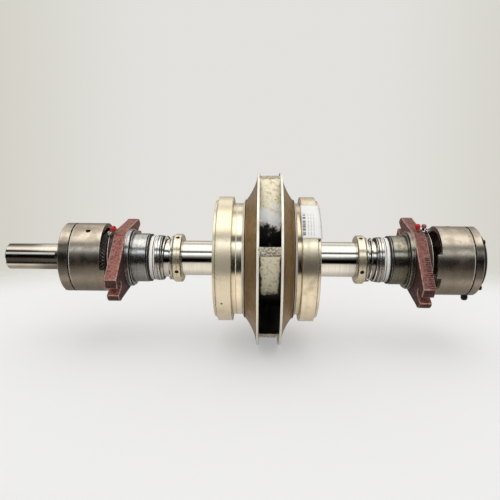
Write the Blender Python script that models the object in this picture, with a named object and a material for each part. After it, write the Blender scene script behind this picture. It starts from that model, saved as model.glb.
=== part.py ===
"""Rotating assembly of a horizontal double-suction pump, lifted out of its casing.

The shaft carries a double-suction impeller, two sleeves, two collars and the turning halves of two
mechanical seals. Two bearing housings, two glands and two casing wear rings go with it.
The impeller's hub, shrouds and vanes are separate solids, so that collision leaves its passages open.
X runs along the shaft towards the free end, Z is up and the near side faces -Y.
"""
import math

import bmesh
import bpy

# Sizes are metres. Stations along the shaft are measured from the impeller's middle, outwards.
FREE_END = 0.3695
GAP = 0.0003
RUNNING_GAP = 0.0006

SHAFT_RADIUS = 0.025
COUPLING_RADIUS = 0.0232
COUPLING_STEP = 0.337
COUPLING_TIP = 0.4685
SHAFT_FREE_TIP = 0.338
SHAFT_CHAMFER = 0.0022
KEYWAY_WIDTH = 0.010
KEYWAY_DEPTH = 0.005
KEYWAY_END = 0.366
KEYWAY_ANGLE = -12

IMPELLER_RADIUS = 0.1525
RIM_HALF_WIDTH = 0.021
FLARE_DEPTH = 0.0457
FLARE_REACH = 0.0181
FLARE_POWER = 1.8
PASSAGE_HALF_WIDTH = 0.017
PASSAGE_DEPTH = 0.055
PASSAGE_REACH = 0.024
SHROUD_STEPS = 5
BEAD = (0.0424, 0.1032)
NECK_START = 0.0446
NECK_RADIUS = 0.0991
NECK_END = 0.078
EYE_CORNER = (0.0465, 0.0935)
EYE_START = 0.053
EYE_RADIUS = 0.092
HUB_RADIUS = 0.036
HUB_END = 0.082
RIB_RADIUS = 0.104
RIB_HALF_THICKNESS = 0.002
HUB_STEPS = 6
HUB_POWER = 2.2
VANES = 6
VANE_TIP_ANGLE = 15
VANE_ANGLE = 25
VANE_TIP_THICKNESS = 0.0054
VANE_ROOT_THICKNESS = 0.0040
VANE_ROOT_RADIUS = 0.060
VANE_INLET = 0.026
VANE_STEPS = 8

SLEEVE_RADIUS = 0.031
SLEEVE_END = 0.283
COLLAR_RADIUS = 0.0432
COLLAR_INNER_FACE = 0.1526
COLLAR_OUTER_FACE = 0.168
COLLAR_CHAMFER = 0.002
COLLAR_HOLE_RADIUS = 0.0035
COLLAR_HOLE_DEPTH = 0.008
COLLAR_ANGLES = {"left": -24, "right": -20}

WASHER_RADIUS = 0.0396
WASHER_FACE = 0.1727
SPRING_RADIUS = 0.038
SPRING_WIRE_RADIUS = 0.0015
SPRING_TURNS = 2.4
SPRING_STEPS = 48
SEAL_HEAD_RADIUS = 0.0405
SEAL_BODY_RADIUS = 0.0342
SEAL_RIM_FACE = 0.1922
SEAL_GROOVE = (0.195, 0.196)
SEAL_GROOVE_RADIUS = 0.0388
SEAL_FACE = 0.199
SEAT_FACE = 0.1993
SEAT_BACK = 0.2085
SEAT_RADIUS = 0.0396
SEAT_TAIL_RADIUS = 0.036
SEAT_TAIL_END = 0.211
SEAT_BORE = 0.033
CUP_RADIUS = 0.0428
CUP_END = 0.2132

GLAND_BORE = 0.0335
NOSE_RADIUS = 0.0434
NOSE_FACE = 0.2135
REGISTER_RADIUS = 0.0514
REGISTER_FACE = 0.2415
FLANGE_INNER_FACE = 0.2493
FLANGE_OUTER_FACE = 0.2700
FLANGE_HUB_RADIUS = 0.053
BOSS_RADIUS = 0.051
BOSS_FACE = 0.278
LOBE_REACH = 0.1012
LOBE_HALF_WIDTH = 0.0265
LOBE_CORNER = 0.0158
LOBE_CORNER_STEPS = 4
SLOT_HALF_WIDTH = 0.00675
SLOT_CENTRE_RADIUS = 0.083
GLAND_ANGLES = {"left": -24.5, "right": -30.5}
SEAL_RING_START = 0.2388
SEAL_RING_RADIUS = 0.0492

FITTING_RADIUS = 0.0036
FITTING_TOP = 0.0605
FITTING_STATION = 0.2761
FITTING_ANGLES = {"left": 50, "right": 79}
CAP_RADIUS = 0.0052
CAP_TOP = 0.0625
CAP_SEATS = {"left": (0.2665, 64, 0.053), "right": (0.2605, 84, 0.0541)}

HOUSING_RADIUS = 0.061
HOUSING_ENDS = {"left": 0.3413, "right": 0.345}
HOUSING_RIMS = {"left": 0.289, "right": 0.2913}
TAB_LENGTH = 0.008
TAB_HALF_ANGLE = 20
RECESS_RADIUS = 0.053
WEB_FACE = 0.3035
WEB_BORE = 0.036
BEARING_FACE = 0.311
BEARING_BACK = 0.338
BEARING_SEAT_RADIUS = 0.055
BEARING_SPLIT_RADIUS = 0.0336
OIL_HOLE_RADIUS = 0.0044
OIL_HOLE_STATION = 0.314
HOUSING_TURNS = {"left": -32, "right": 0}
COVER_FACE = 0.361
COVER_SPIGOT_INNER = 0.048
COVER_CHAMFER = 0.0015
COVER_RECESS_RISE = 0.002
COVER_MIDDLE_RADIUS = 0.050
COVER_MIDDLE_CHAMFER = 0.002
COVER_BORE = 0.027
LIP_SEAL_RADIUS = 0.033
LIP_SEAL_DEPTH = 0.008
PLUG_RADIUS = 0.006
PLUG_STATION = 0.3525
PLUG_REACH = 0.069

WEAR_RING_STATIONS = {"left": 0.0624, "right": 0.0524}
WEAR_RING_RADIUS = 0.1105
WEAR_RING_LIP_RADIUS = 0.104
WEAR_RING_BAND = 0.0252
WEAR_RING_LENGTH = 0.0308

LARGE_SIDES = 40
SMALL_SIDES = 28
FINE_SIDES = 12

SIDES = {"left": -1, "right": 1}


def clear_scene():
    for item in list(bpy.data.objects):
        bpy.data.objects.remove(item, do_unlink=True)


def make_material(name, colour, roughness, metallic):
    material = bpy.data.materials.new(name)
    material.use_nodes = True
    shader = material.node_tree.nodes["Principled BSDF"]
    shader.inputs["Base Color"].default_value = (*colour, 1)
    shader.inputs["Roughness"].default_value = roughness
    shader.inputs["Metallic"].default_value = metallic
    return material


def make_object(name, mesh_source, finish, base):
    """Turns a bmesh into a named object whose own material has the given finish."""
    mesh = bpy.data.meshes.new(name)
    bmesh.ops.recalc_face_normals(mesh_source, faces=mesh_source.faces)
    mesh_source.to_mesh(mesh)
    mesh_source.free()
    mesh.shade_smooth()
    mesh.set_sharp_from_angle(angle=math.radians(30))
    item = bpy.data.objects.new(name, mesh)
    bpy.context.scene.collection.objects.link(item)
    item.parent = base
    if finish:
        mesh.materials.append(make_material(name, *finish))
    return item


def make_cutter(name, mesh_source, base):
    cutter = make_object(name, mesh_source, None, base)
    cutter.hide_render = True
    cutter.display_type = "WIRE"
    return cutter


def combine(item, other, operation):
    step = item.modifiers.new(f"{operation} {other.name}", "BOOLEAN")
    step.object = other
    step.operation = operation
    step.solver = "EXACT"


def around(angle, radius):
    """The Y and Z of a point at an angle above the near side, in degrees."""
    turn = math.radians(angle)
    return -radius * math.cos(turn), radius * math.sin(turn)


def inside(radius, sides):
    """The corner radius of a many-sided hole whose flats clear a round piece of this radius."""
    return radius / math.cos(math.pi / sides)


def lathe(outline, sides, side=1, closed=True):
    """Spins (station, radius) points about the shaft's axis."""
    turned = bmesh.new()
    corners = [turned.verts.new((side * station, 0, radius)) for station, radius in outline]
    links = [turned.edges.new(pair) for pair in zip(corners, corners[1:])]
    if closed:
        links.append(turned.edges.new((corners[-1], corners[0])))
    bmesh.ops.spin(
        turned, geom=corners + links, cent=(0, 0, 0), axis=(1, 0, 0), angle=2 * math.pi,
        steps=sides, use_merge=True)
    bmesh.ops.remove_doubles(turned, verts=turned.verts, dist=0.00001)
    return turned


def radial_cylinder(station, angle, inner, outer, radius, sides=FINE_SIDES):
    """A round bar that stands on the shaft's axis at an angle above the near side."""
    bar = bmesh.new()
    rings = []
    along_y, along_z = around(angle, 1)
    for reach in (inner, outer):
        ring = []
        for index in range(sides):
            turn = 2 * math.pi * index / sides
            across = radius * math.cos(turn)
            sideways = radius * math.sin(turn)
            ring.append(bar.verts.new((
                station + across,
                reach * along_y - sideways * along_z,
                reach * along_z + sideways * along_y)))
        rings.append(ring)
    bar.faces.new(rings[0])
    bar.faces.new(rings[1])
    for index in range(sides):
        following = (index + 1) % sides
        bar.faces.new((rings[0][index], rings[0][following], rings[1][following], rings[1][index]))
    return bar


def slab(outline, start, end, target=None):
    """Extrudes a (Y, Z) outline along the shaft, into a new bmesh or an existing one."""
    solid = target or bmesh.new()
    near = [solid.verts.new((start, *point)) for point in outline]
    bottom = solid.faces.new(near)
    lifted = bmesh.ops.extrude_face_region(solid, geom=[bottom])["geom"]
    moved = [part for part in lifted if isinstance(part, bmesh.types.BMVert)]
    bmesh.ops.translate(solid, verts=moved, vec=(end - start, 0, 0))
    return solid


def sector(start_angle, end_angle, radius, start, end, steps=6):
    """A pie slice about the shaft's axis, for notches."""
    outline = [(0, 0)]
    for index in range(steps + 1):
        outline.append(around(start_angle + (end_angle - start_angle) * index / steps, radius))
    return slab(outline, start, end)


def flare(amount):
    """The shroud's outer side, from the rim at 0 to the neck at 1."""
    station = RIM_HALF_WIDTH + FLARE_REACH * amount ** FLARE_POWER
    return station, IMPELLER_RADIUS - FLARE_DEPTH * amount


def passage(amount):
    """The shroud's inner side, from the rim at 0 to the eye at 1."""
    station = PASSAGE_HALF_WIDTH + PASSAGE_REACH * amount ** 2
    return station, IMPELLER_RADIUS - PASSAGE_DEPTH * amount


def shroud_wall():
    return [passage(index / SHROUD_STEPS) for index in range(SHROUD_STEPS + 1)] + [EYE_CORNER]


def shroud_outline():
    outer = [flare(index / SHROUD_STEPS) for index in range(SHROUD_STEPS + 1)]
    outer += [BEAD, (NECK_START, NECK_RADIUS), (NECK_END, NECK_RADIUS)]
    inner = shroud_wall() + [(EYE_START, EYE_RADIUS), (NECK_END, EYE_RADIUS)]
    return outer + inner[::-1]


def mirrored(line):
    return [(-station, radius) for station, radius in line[::-1]]


def hub_wall():
    """The hub's outside from left to right, up to the rib between the two halves."""
    right = []
    for index in range(HUB_STEPS + 1):
        amount = index / HUB_STEPS
        station = RIB_HALF_THICKNESS + (HUB_END - RIB_HALF_THICKNESS) * amount ** 2
        radius = HUB_RADIUS + (RIB_RADIUS - HUB_RADIUS) * (1 - amount) ** HUB_POWER
        right.append((station, radius))
    return mirrored(right) + right


def hub_outline():
    bore = inside(SHAFT_RADIUS + GAP, LARGE_SIDES)
    return hub_wall() + [(HUB_END, bore), (-HUB_END, bore)]


def shifted(line, distance):
    """Moves an open (station, radius) line sideways, to the left of its own direction."""
    normals = []
    for first, second in zip(line, line[1:]):
        length = math.dist(first, second)
        normals.append(((first[1] - second[1]) / length, (second[0] - first[0]) / length))
    normals = [normals[0]] + normals + [normals[-1]]
    moved = []
    for point, before, after in zip(line, normals, normals[1:]):
        share = distance / (1 + before[0] * after[0] + before[1] * after[1])
        moved.append((point[0] + share * (before[0] + after[0]),
                      point[1] + share * (before[1] + after[1])))
    return moved


def vane_space_outline():
    """The water's way between the shrouds and the hub, taken in by the gap on every side."""
    gap = inside(GAP, LARGE_SIDES)
    right = shifted(shroud_wall(), -gap)
    right[0] = (right[0][0], IMPELLER_RADIUS - gap)
    hub = [point for point in shifted(hub_wall(), gap) if abs(point[0]) < VANE_INLET]
    return right + hub[::-1] + mirrored(right)


def vane_outline(tip_angle):
    """A backward-curved vane, seen along the shaft."""
    slope = 1 / math.tan(math.radians(VANE_ANGLE))
    tip_radius = IMPELLER_RADIUS + 0.004
    near, far = [], []
    for index in range(VANE_STEPS + 1):
        amount = index / VANE_STEPS
        radius = tip_radius + (VANE_ROOT_RADIUS - tip_radius) * amount
        turn = math.radians(tip_angle) - slope * math.log(IMPELLER_RADIUS / radius)
        thickness = VANE_TIP_THICKNESS + (VANE_ROOT_THICKNESS - VANE_TIP_THICKNESS) * amount
        heading = turn + math.radians(VANE_ANGLE) - math.pi / 2
        middle_y, middle_z = around(math.degrees(turn), radius)
        step_y, step_z = around(math.degrees(heading), thickness / 2)
        near.append((middle_y + step_y, middle_z + step_z))
        far.append((middle_y - step_y, middle_z - step_z))
    return near + far[::-1]


def build_impeller(base):
    finish = ((0.30, 0.21, 0.11), 0.45, 0.9)
    make_object("impeller_hub", lathe(hub_outline(), LARGE_SIDES), finish, base)
    for name, side in SIDES.items():
        make_object(f"impeller_shroud_{name}", lathe(shroud_outline(), LARGE_SIDES, side), finish, base)
    space = make_cutter("vane_space", lathe(vane_space_outline(), LARGE_SIDES), base)
    for index in range(VANES):
        outline = vane_outline(VANE_TIP_ANGLE + index * 360 / VANES)
        vane = make_object(f"impeller_vane_{index + 1}", slab(outline, -NECK_END, NECK_END), finish, base)
        combine(vane, space, "INTERSECT")


def build_shaft(base):
    outline = [
        (-COUPLING_TIP, 0), (-COUPLING_TIP, COUPLING_RADIUS - SHAFT_CHAMFER),
        (-COUPLING_TIP + SHAFT_CHAMFER, COUPLING_RADIUS), (-COUPLING_STEP, COUPLING_RADIUS),
        (-COUPLING_STEP, SHAFT_RADIUS), (SHAFT_FREE_TIP, SHAFT_RADIUS), (SHAFT_FREE_TIP, 0)]
    shaft = make_object("shaft", lathe(outline, SMALL_SIDES, closed=False),
                        ((0.55, 0.55, 0.55), 0.25, 1), base)
    radial_y, radial_z = around(KEYWAY_ANGLE, 1)
    outline = []
    for reach, across in ((-1, -1), (-1, 1), (1, 1), (1, -1)):
        distance = COUPLING_RADIUS - KEYWAY_DEPTH if reach < 0 else COUPLING_RADIUS + 0.005
        shift = across * KEYWAY_WIDTH / 2
        outline.append((distance * radial_y - shift * radial_z, distance * radial_z + shift * radial_y))
    keyway = make_cutter("keyway", slab(outline, -COUPLING_TIP - 0.005, -KEYWAY_END), base)
    combine(shaft, keyway, "DIFFERENCE")


def build_sleeve(name, side, base):
    bore = inside(SHAFT_RADIUS + GAP, SMALL_SIDES)
    start = HUB_END + GAP
    outline = [(start, bore), (start, SLEEVE_RADIUS), (SLEEVE_END - 0.001, SLEEVE_RADIUS),
               (SLEEVE_END, SLEEVE_RADIUS - 0.001), (SLEEVE_END, bore)]
    make_object(f"sleeve_{name}", lathe(outline, SMALL_SIDES, side), ((0.5, 0.5, 0.5), 0.2, 1), base)


def build_collar(name, side, base):
    bore = inside(SLEEVE_RADIUS + GAP, SMALL_SIDES)
    start, end = COLLAR_INNER_FACE, COLLAR_OUTER_FACE
    edge = COLLAR_RADIUS - COLLAR_CHAMFER
    outline = [(start, bore), (start, edge), (start + COLLAR_CHAMFER, COLLAR_RADIUS),
               (end - COLLAR_CHAMFER, COLLAR_RADIUS), (end, edge), (end, bore)]
    collar = make_object(f"collar_{name}", lathe(outline, SMALL_SIDES, side),
                         ((0.45, 0.33, 0.17), 0.35, 0.9), base)
    middle = side * (start + end) / 2
    for index in range(4):
        angle = COLLAR_ANGLES[name] + index * 90
        hole = radial_cylinder(middle, angle, COLLAR_RADIUS - COLLAR_HOLE_DEPTH, COLLAR_RADIUS + 0.002,
                               COLLAR_HOLE_RADIUS, 8)
        combine(collar, make_cutter(f"collar_hole_{name}_{index}", hole, base), "DIFFERENCE")


def ring(start, end, inner, outer):
    return [(start, inner), (start, outer), (end, outer), (end, inner)]


def build_spring(name, side, base):
    start = WASHER_FACE + GAP + SPRING_WIRE_RADIUS
    end = SEAL_RIM_FACE - GAP - SPRING_WIRE_RADIUS
    wire_sides = 6
    coil = bmesh.new()
    rings = []
    for index in range(SPRING_STEPS + 1):
        amount = index / SPRING_STEPS
        turn = 360 * SPRING_TURNS * amount
        loop = []
        for corner in range(wire_sides):
            spot = 2 * math.pi * corner / wire_sides
            station = start + (end - start) * amount + SPRING_WIRE_RADIUS * math.cos(spot)
            reach = SPRING_RADIUS + SPRING_WIRE_RADIUS * math.sin(spot)
            loop.append(coil.verts.new((side * station, *around(turn, reach))))
        rings.append(loop)
    for first, second in zip(rings, rings[1:]):
        for corner in range(wire_sides):
            following = (corner + 1) % wire_sides
            coil.faces.new((first[corner], first[following], second[following], second[corner]))
    coil.faces.new(rings[0])
    coil.faces.new(rings[-1])
    make_object(f"seal_spring_{name}", coil, ((0.45, 0.45, 0.45), 0.3, 1), base)


def build_turning_seal(name, side, base):
    """Washer, spring and the seal's turning head, which ride on the sleeve."""
    steel = ((0.5, 0.5, 0.5), 0.3, 1)
    bore = inside(SLEEVE_RADIUS + GAP, SMALL_SIDES)
    washer = ring(COLLAR_OUTER_FACE + GAP, WASHER_FACE, bore, WASHER_RADIUS)
    make_object(f"seal_washer_{name}", lathe(washer, SMALL_SIDES, side), steel, base)
    build_spring(name, side, base)
    tail = WASHER_FACE + 0.003
    groove_start, groove_end = SEAL_GROOVE
    head = [(tail, bore), (tail, SEAL_BODY_RADIUS), (SEAL_RIM_FACE, SEAL_BODY_RADIUS),
            (SEAL_RIM_FACE, SEAL_HEAD_RADIUS), (groove_start, SEAL_HEAD_RADIUS),
            (groove_start, SEAL_GROOVE_RADIUS), (groove_end, SEAL_GROOVE_RADIUS),
            (groove_end, SEAL_HEAD_RADIUS), (SEAL_FACE, SEAL_HEAD_RADIUS), (SEAL_FACE, bore)]
    make_object(f"seal_head_{name}", lathe(head, SMALL_SIDES, side), steel, base)


def build_still_seal(name, side, base):
    """The white ceramic seat in its rubber cup, and the rubber ring on the gland's nose."""
    seat = [(SEAT_FACE, SEAT_BORE), (SEAT_FACE, SEAT_RADIUS), (SEAT_BACK, SEAT_RADIUS),
            (SEAT_BACK, SEAT_TAIL_RADIUS), (SEAT_TAIL_END, SEAT_TAIL_RADIUS),
            (SEAT_TAIL_END, SEAT_BORE)]
    make_object(f"seal_seat_{name}", lathe(seat, SMALL_SIDES, side), ((0.8, 0.8, 0.76), 0.3, 0), base)
    rubber = ((0.015, 0.015, 0.015), 0.6, 0)
    well = inside(SEAT_TAIL_RADIUS + GAP, SMALL_SIDES)
    cup = [(SEAT_BACK + GAP, well), (SEAT_BACK + GAP, CUP_RADIUS), (CUP_END, CUP_RADIUS),
           (CUP_END, SEAT_BORE), (SEAT_TAIL_END + GAP, SEAT_BORE), (SEAT_TAIL_END + GAP, well)]
    make_object(f"seal_cup_{name}", lathe(cup, SMALL_SIDES, side), rubber, base)
    seal_ring = ring(SEAL_RING_START, REGISTER_FACE - GAP, inside(NOSE_RADIUS + GAP, SMALL_SIDES),
                     SEAL_RING_RADIUS)
    make_object(f"gland_seal_ring_{name}", lathe(seal_ring, SMALL_SIDES, side), rubber, base)


def flange_outline(turn):
    """The two-lobed gland flange seen along the shaft, with an open slot in each lobe's end."""
    shoulder = LOBE_REACH - LOBE_CORNER
    tangent = math.atan2(shoulder, LOBE_HALF_WIDTH)
    tangent -= math.acos(FLANGE_HUB_RADIUS / math.hypot(shoulder, LOBE_HALF_WIDTH))
    hub_steps, slot_steps = 6, 5
    corner = []
    for index in range(LOBE_CORNER_STEPS + 1):
        angle = math.pi / 2 * (1 - index / LOBE_CORNER_STEPS)
        corner.append((LOBE_HALF_WIDTH - LOBE_CORNER + LOBE_CORNER * math.cos(angle),
                       shoulder + LOBE_CORNER * math.sin(angle)))
    half = [(SLOT_HALF_WIDTH, LOBE_REACH)] + corner
    for index in range(hub_steps + 1):
        angle = tangent - 2 * tangent * index / hub_steps
        half.append((FLANGE_HUB_RADIUS * math.cos(angle), FLANGE_HUB_RADIUS * math.sin(angle)))
    half += [(across, -along) for across, along in corner[::-1]]
    half.append((SLOT_HALF_WIDTH, -LOBE_REACH))
    for index in range(slot_steps + 1):
        angle = math.pi * index / slot_steps
        half.append((SLOT_HALF_WIDTH * math.cos(angle),
                     SLOT_HALF_WIDTH * math.sin(angle) - SLOT_CENTRE_RADIUS))
    whole = half + [(-across, -along) for across, along in half]
    outline = []
    for across, along in whole:
        along_y, along_z = around(turn, along)
        across_y, across_z = around(turn + 90, across)
        outline.append((along_y + across_y, along_z + across_z))
    return outline


def build_gland(name, side, base):
    outline = [
        (NOSE_FACE, GLAND_BORE), (NOSE_FACE, NOSE_RADIUS - 0.001), (NOSE_FACE + 0.001, NOSE_RADIUS),
        (REGISTER_FACE, NOSE_RADIUS), (REGISTER_FACE, REGISTER_RADIUS - 0.001),
        (REGISTER_FACE + 0.001, REGISTER_RADIUS), (FLANGE_INNER_FACE + 0.003, REGISTER_RADIUS),
        (FLANGE_INNER_FACE + 0.003, BOSS_RADIUS), (BOSS_FACE, BOSS_RADIUS), (BOSS_FACE, GLAND_BORE)]
    gland = make_object(f"gland_{name}", lathe(outline, SMALL_SIDES, side),
                        ((0.36, 0.12, 0.09), 0.7, 0), base)
    flange = slab(flange_outline(GLAND_ANGLES[name]), side * FLANGE_INNER_FACE,
                  side * FLANGE_OUTER_FACE)
    plate = make_cutter(f"gland_plate_{name}", flange, base)
    bore = lathe(ring(FLANGE_INNER_FACE - 0.01, FLANGE_OUTER_FACE + 0.01, 0, BOSS_RADIUS - 0.004),
                 SMALL_SIDES, side, closed=False)
    combine(plate, make_cutter(f"gland_plate_bore_{name}", bore, base), "DIFFERENCE")
    combine(gland, plate, "UNION")


def build_fittings(name, side, base):
    """The flush fitting and the red cap that stand on the gland."""
    fitting = radial_cylinder(side * FITTING_STATION, FITTING_ANGLES[name], BOSS_RADIUS + GAP,
                              FITTING_TOP, FITTING_RADIUS)
    make_object(f"flush_fitting_{name}", fitting, ((0.3, 0.3, 0.3), 0.3, 1), base)
    station, angle, seat = CAP_SEATS[name]
    cap = radial_cylinder(side * station, angle, seat + GAP, CAP_TOP, CAP_RADIUS)
    make_object(f"port_cap_{name}", cap, ((0.6, 0.03, 0.03), 0.35, 0), base)


def build_housing(name, side, base):
    turn = HOUSING_TURNS[name]
    rim, end = HOUSING_RIMS[name], HOUSING_ENDS[name]
    tab_end = rim - TAB_LENGTH
    outline = [
        (tab_end, RECESS_RADIUS), (tab_end, HOUSING_RADIUS), (end, HOUSING_RADIUS),
        (end, BEARING_SEAT_RADIUS), (BEARING_FACE - GAP, BEARING_SEAT_RADIUS),
        (BEARING_FACE - GAP, WEB_BORE), (WEB_FACE, WEB_BORE), (WEB_FACE, RECESS_RADIUS)]
    housing = make_object(f"bearing_housing_{name}", lathe(outline, SMALL_SIDES, side),
                          ((0.3, 0.28, 0.26), 0.4, 0.9), base)
    for index, start in enumerate((turn + TAB_HALF_ANGLE, turn + 180 + TAB_HALF_ANGLE)):
        notch = sector(start, start + 180 - 2 * TAB_HALF_ANGLE, HOUSING_RADIUS * 1.2,
                       side * (tab_end - 0.005), side * rim)
        combine(housing, make_cutter(f"notch_{name}_{index}", notch, base), "DIFFERENCE")
    hole = radial_cylinder(side * OIL_HOLE_STATION, turn + 90, RECESS_RADIUS - 0.003,
                           HOUSING_RADIUS + 0.003, OIL_HOLE_RADIUS, 10)
    combine(housing, make_cutter(f"oil_hole_{name}", hole, base), "DIFFERENCE")


def build_bearing(name, side, base):
    steel = ((0.5, 0.5, 0.5), 0.3, 1)
    bore = inside(SHAFT_RADIUS + GAP, SMALL_SIDES)
    inner = ring(BEARING_FACE, BEARING_BACK, bore, BEARING_SPLIT_RADIUS)
    make_object(f"bearing_inner_{name}", lathe(inner, SMALL_SIDES, side), steel, base)
    split = inside(BEARING_SPLIT_RADIUS + RUNNING_GAP, SMALL_SIDES)
    outer = ring(BEARING_FACE, BEARING_BACK, split, BEARING_SEAT_RADIUS - GAP)
    make_object(f"bearing_outer_{name}", lathe(outer, SMALL_SIDES, side), steel, base)


def build_cover(name, side, base):
    """The end cover: closed, with a raised middle, at the free end and bored at the coupling end."""
    inner, outer = BEARING_BACK + GAP, COVER_FACE
    seam = HOUSING_ENDS[name] + GAP
    rim = [
        (inner, COVER_SPIGOT_INNER), (inner, BEARING_SEAT_RADIUS - GAP),
        (seam, BEARING_SEAT_RADIUS - GAP), (seam, HOUSING_RADIUS),
        (outer - COVER_CHAMFER, HOUSING_RADIUS), (outer, HOUSING_RADIUS - COVER_CHAMFER)]
    floor = seam + COVER_RECESS_RISE
    if name == "right":
        edge = COVER_MIDDLE_RADIUS - COVER_MIDDLE_CHAMFER
        middle = [(outer, COVER_MIDDLE_RADIUS), (FREE_END - COVER_MIDDLE_CHAMFER, COVER_MIDDLE_RADIUS),
                  (FREE_END, edge), (FREE_END, 0)]
        outline = [(floor, 0), (floor, COVER_SPIGOT_INNER)] + rim + middle
        turned = lathe(outline, SMALL_SIDES, side, closed=False)
    else:
        step = outer - LIP_SEAL_DEPTH
        well = inside(LIP_SEAL_RADIUS + GAP, SMALL_SIDES)
        outline = [(floor, COVER_SPIGOT_INNER)] + rim
        outline += [(outer, well), (step, well), (step, COVER_BORE), (floor, COVER_BORE)]
        turned = lathe(outline, SMALL_SIDES, side)
        lip = ring(step + GAP, outer - GAP, COUPLING_RADIUS + RUNNING_GAP, LIP_SEAL_RADIUS)
        make_object("shaft_lip_seal", lathe(lip, SMALL_SIDES, side), ((0.02, 0.02, 0.02), 0.6, 0), base)
    make_object(f"end_cover_{name}", turned, ((0.3, 0.28, 0.26), 0.4, 0.9), base)
    plug = radial_cylinder(side * PLUG_STATION, HOUSING_TURNS[name] - 90, HOUSING_RADIUS + GAP,
                           PLUG_REACH, PLUG_RADIUS)
    make_object(f"drain_plug_{name}", plug, ((0.25, 0.25, 0.25), 0.4, 1), base)


def build_wear_ring(name, side, base):
    start = WEAR_RING_STATIONS[name]
    bore = inside(NECK_RADIUS + RUNNING_GAP, LARGE_SIDES)
    edge = 0.0008
    outline = [
        (start, bore), (start, WEAR_RING_RADIUS - edge), (start + edge, WEAR_RING_RADIUS),
        (start + WEAR_RING_BAND, WEAR_RING_RADIUS), (start + WEAR_RING_BAND, WEAR_RING_LIP_RADIUS),
        (start + WEAR_RING_LENGTH, WEAR_RING_LIP_RADIUS), (start + WEAR_RING_LENGTH, bore)]
    make_object(f"wear_ring_{name}", lathe(outline, LARGE_SIDES, side),
                ((0.5, 0.37, 0.2), 0.3, 0.9), base)


def main():
    clear_scene()
    base = bpy.data.objects.new("assembly", None)
    base.location = (-FREE_END, 0, 0)
    bpy.context.scene.collection.objects.link(base)
    build_shaft(base)
    build_impeller(base)
    for name, side in SIDES.items():
        build_sleeve(name, side, base)
        build_collar(name, side, base)
        build_turning_seal(name, side, base)
        build_still_seal(name, side, base)
        build_gland(name, side, base)
        build_fittings(name, side, base)
        build_housing(name, side, base)
        build_bearing(name, side, base)
        build_cover(name, side, base)
        build_wear_ring(name, side, base)


main()
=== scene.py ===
"""Fine pieces, finishes, light and camera for the rotating assembly of a double-suction pump.

Stations along the shaft are metres from the impeller's middle, outwards, and angles are degrees above the
near side, as in the part's own source.
"""
import math

import bmesh
import bpy
from bpy.props import FloatProperty, FloatVectorProperty, IntProperty, PointerProperty
from mathutils import Matrix, Vector


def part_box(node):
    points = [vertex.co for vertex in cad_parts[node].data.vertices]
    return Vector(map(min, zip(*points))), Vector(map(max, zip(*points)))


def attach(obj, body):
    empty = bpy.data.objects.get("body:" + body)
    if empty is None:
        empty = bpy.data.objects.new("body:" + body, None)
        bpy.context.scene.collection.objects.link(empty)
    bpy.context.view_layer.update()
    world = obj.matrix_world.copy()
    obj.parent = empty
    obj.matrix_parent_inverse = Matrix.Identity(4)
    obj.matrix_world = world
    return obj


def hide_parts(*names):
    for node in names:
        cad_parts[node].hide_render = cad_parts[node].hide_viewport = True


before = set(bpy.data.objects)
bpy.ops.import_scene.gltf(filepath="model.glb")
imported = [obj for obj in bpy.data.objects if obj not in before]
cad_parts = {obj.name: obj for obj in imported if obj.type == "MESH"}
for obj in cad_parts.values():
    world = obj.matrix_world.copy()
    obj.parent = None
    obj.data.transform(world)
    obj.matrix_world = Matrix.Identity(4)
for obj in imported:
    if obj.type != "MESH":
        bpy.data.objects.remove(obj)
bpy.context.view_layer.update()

bl_info = {
    "name": "Pump Rotor",
    "version": (1, 0, 0),
    "blender": (4, 5, 0),
    "location": "View3D > Sidebar > Pump Rotor",
    "description": "Builds the fine pieces and finishes of a pump's rotating assembly",
    "category": "Add Mesh",
}

HUB_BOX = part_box("impeller_hub")
MIDDLE = (HUB_BOX[0].x + HUB_BOX[1].x) / 2
SIDES = {"left": -1, "right": 1}

WIDE_SIDES = 192
ROUND_SIDES = 128
FINE_SIDES = 40
PLUG_SIDES = 32
SMALL_SIDES = 24
FILLET_STEPS = 4
FILLET_SHARE = 0.45
SHARP_ANGLE = math.radians(38)
NOUGHT = 1e-6
EDGE = 0.0003
SOFT_EDGE = 0.0008
FINE_BEVEL = 0.0003
CAST_BEVEL = 0.0014
GAP = 0.0003


def radius_of(node):
    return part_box(node)[1].z


def stations_of(node):
    low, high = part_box(node)
    return sorted((abs(low.x - MIDDLE), abs(high.x - MIDDLE)))


def length(name, description, default):
    return FloatProperty(name=name, description=description, default=default, min=0,
                         precision=4, unit="LENGTH")


def colour(name, description, default):
    return FloatVectorProperty(name=name, description=description, default=default, size=3,
                               min=0, max=1, subtype="COLOR")


class ShaftSizes(bpy.types.PropertyGroup):
    journal: length("Journal radius", "Radius of the shaft under the bearings", 0.025)
    coupling: length("Coupling radius", "Radius of the shaft's coupling end", 0.0232)
    chamfer: length("End chamfer", "Chamfer on the coupling end", 0.0022)
    key_width: length("Keyway width", "Width of the coupling's keyway", 0.010)
    key_depth: length("Keyway depth", "Depth of the coupling's keyway", 0.005)
    sleeve: length("Sleeve radius", "Outer radius of the shaft sleeves", radius_of("sleeve_left"))


class ImpellerSizes(bpy.types.PropertyGroup):
    radius: length("Radius", "Outer radius of the impeller", radius_of("impeller_shroud_left"))
    rim: length("Rim half width", "Half the width over both rims", 0.021)
    passage: length("Passage half width", "Half the width between the shrouds at the rim", 0.017)
    neck: length("Neck radius", "Radius of the turned necks that run in the wear rings", 0.0991)
    hub: length("Hub radius", "Radius of the hub's ends", 0.036)
    vane_tip: length("Vane tip thickness", "Thickness of a vane at the rim", 0.0054)
    vane_root: length("Vane root thickness", "Thickness of a vane at the eye", 0.0040)
    vanes: IntProperty(name="Vanes", description="Number of vanes", default=6, min=2, max=12)


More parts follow.
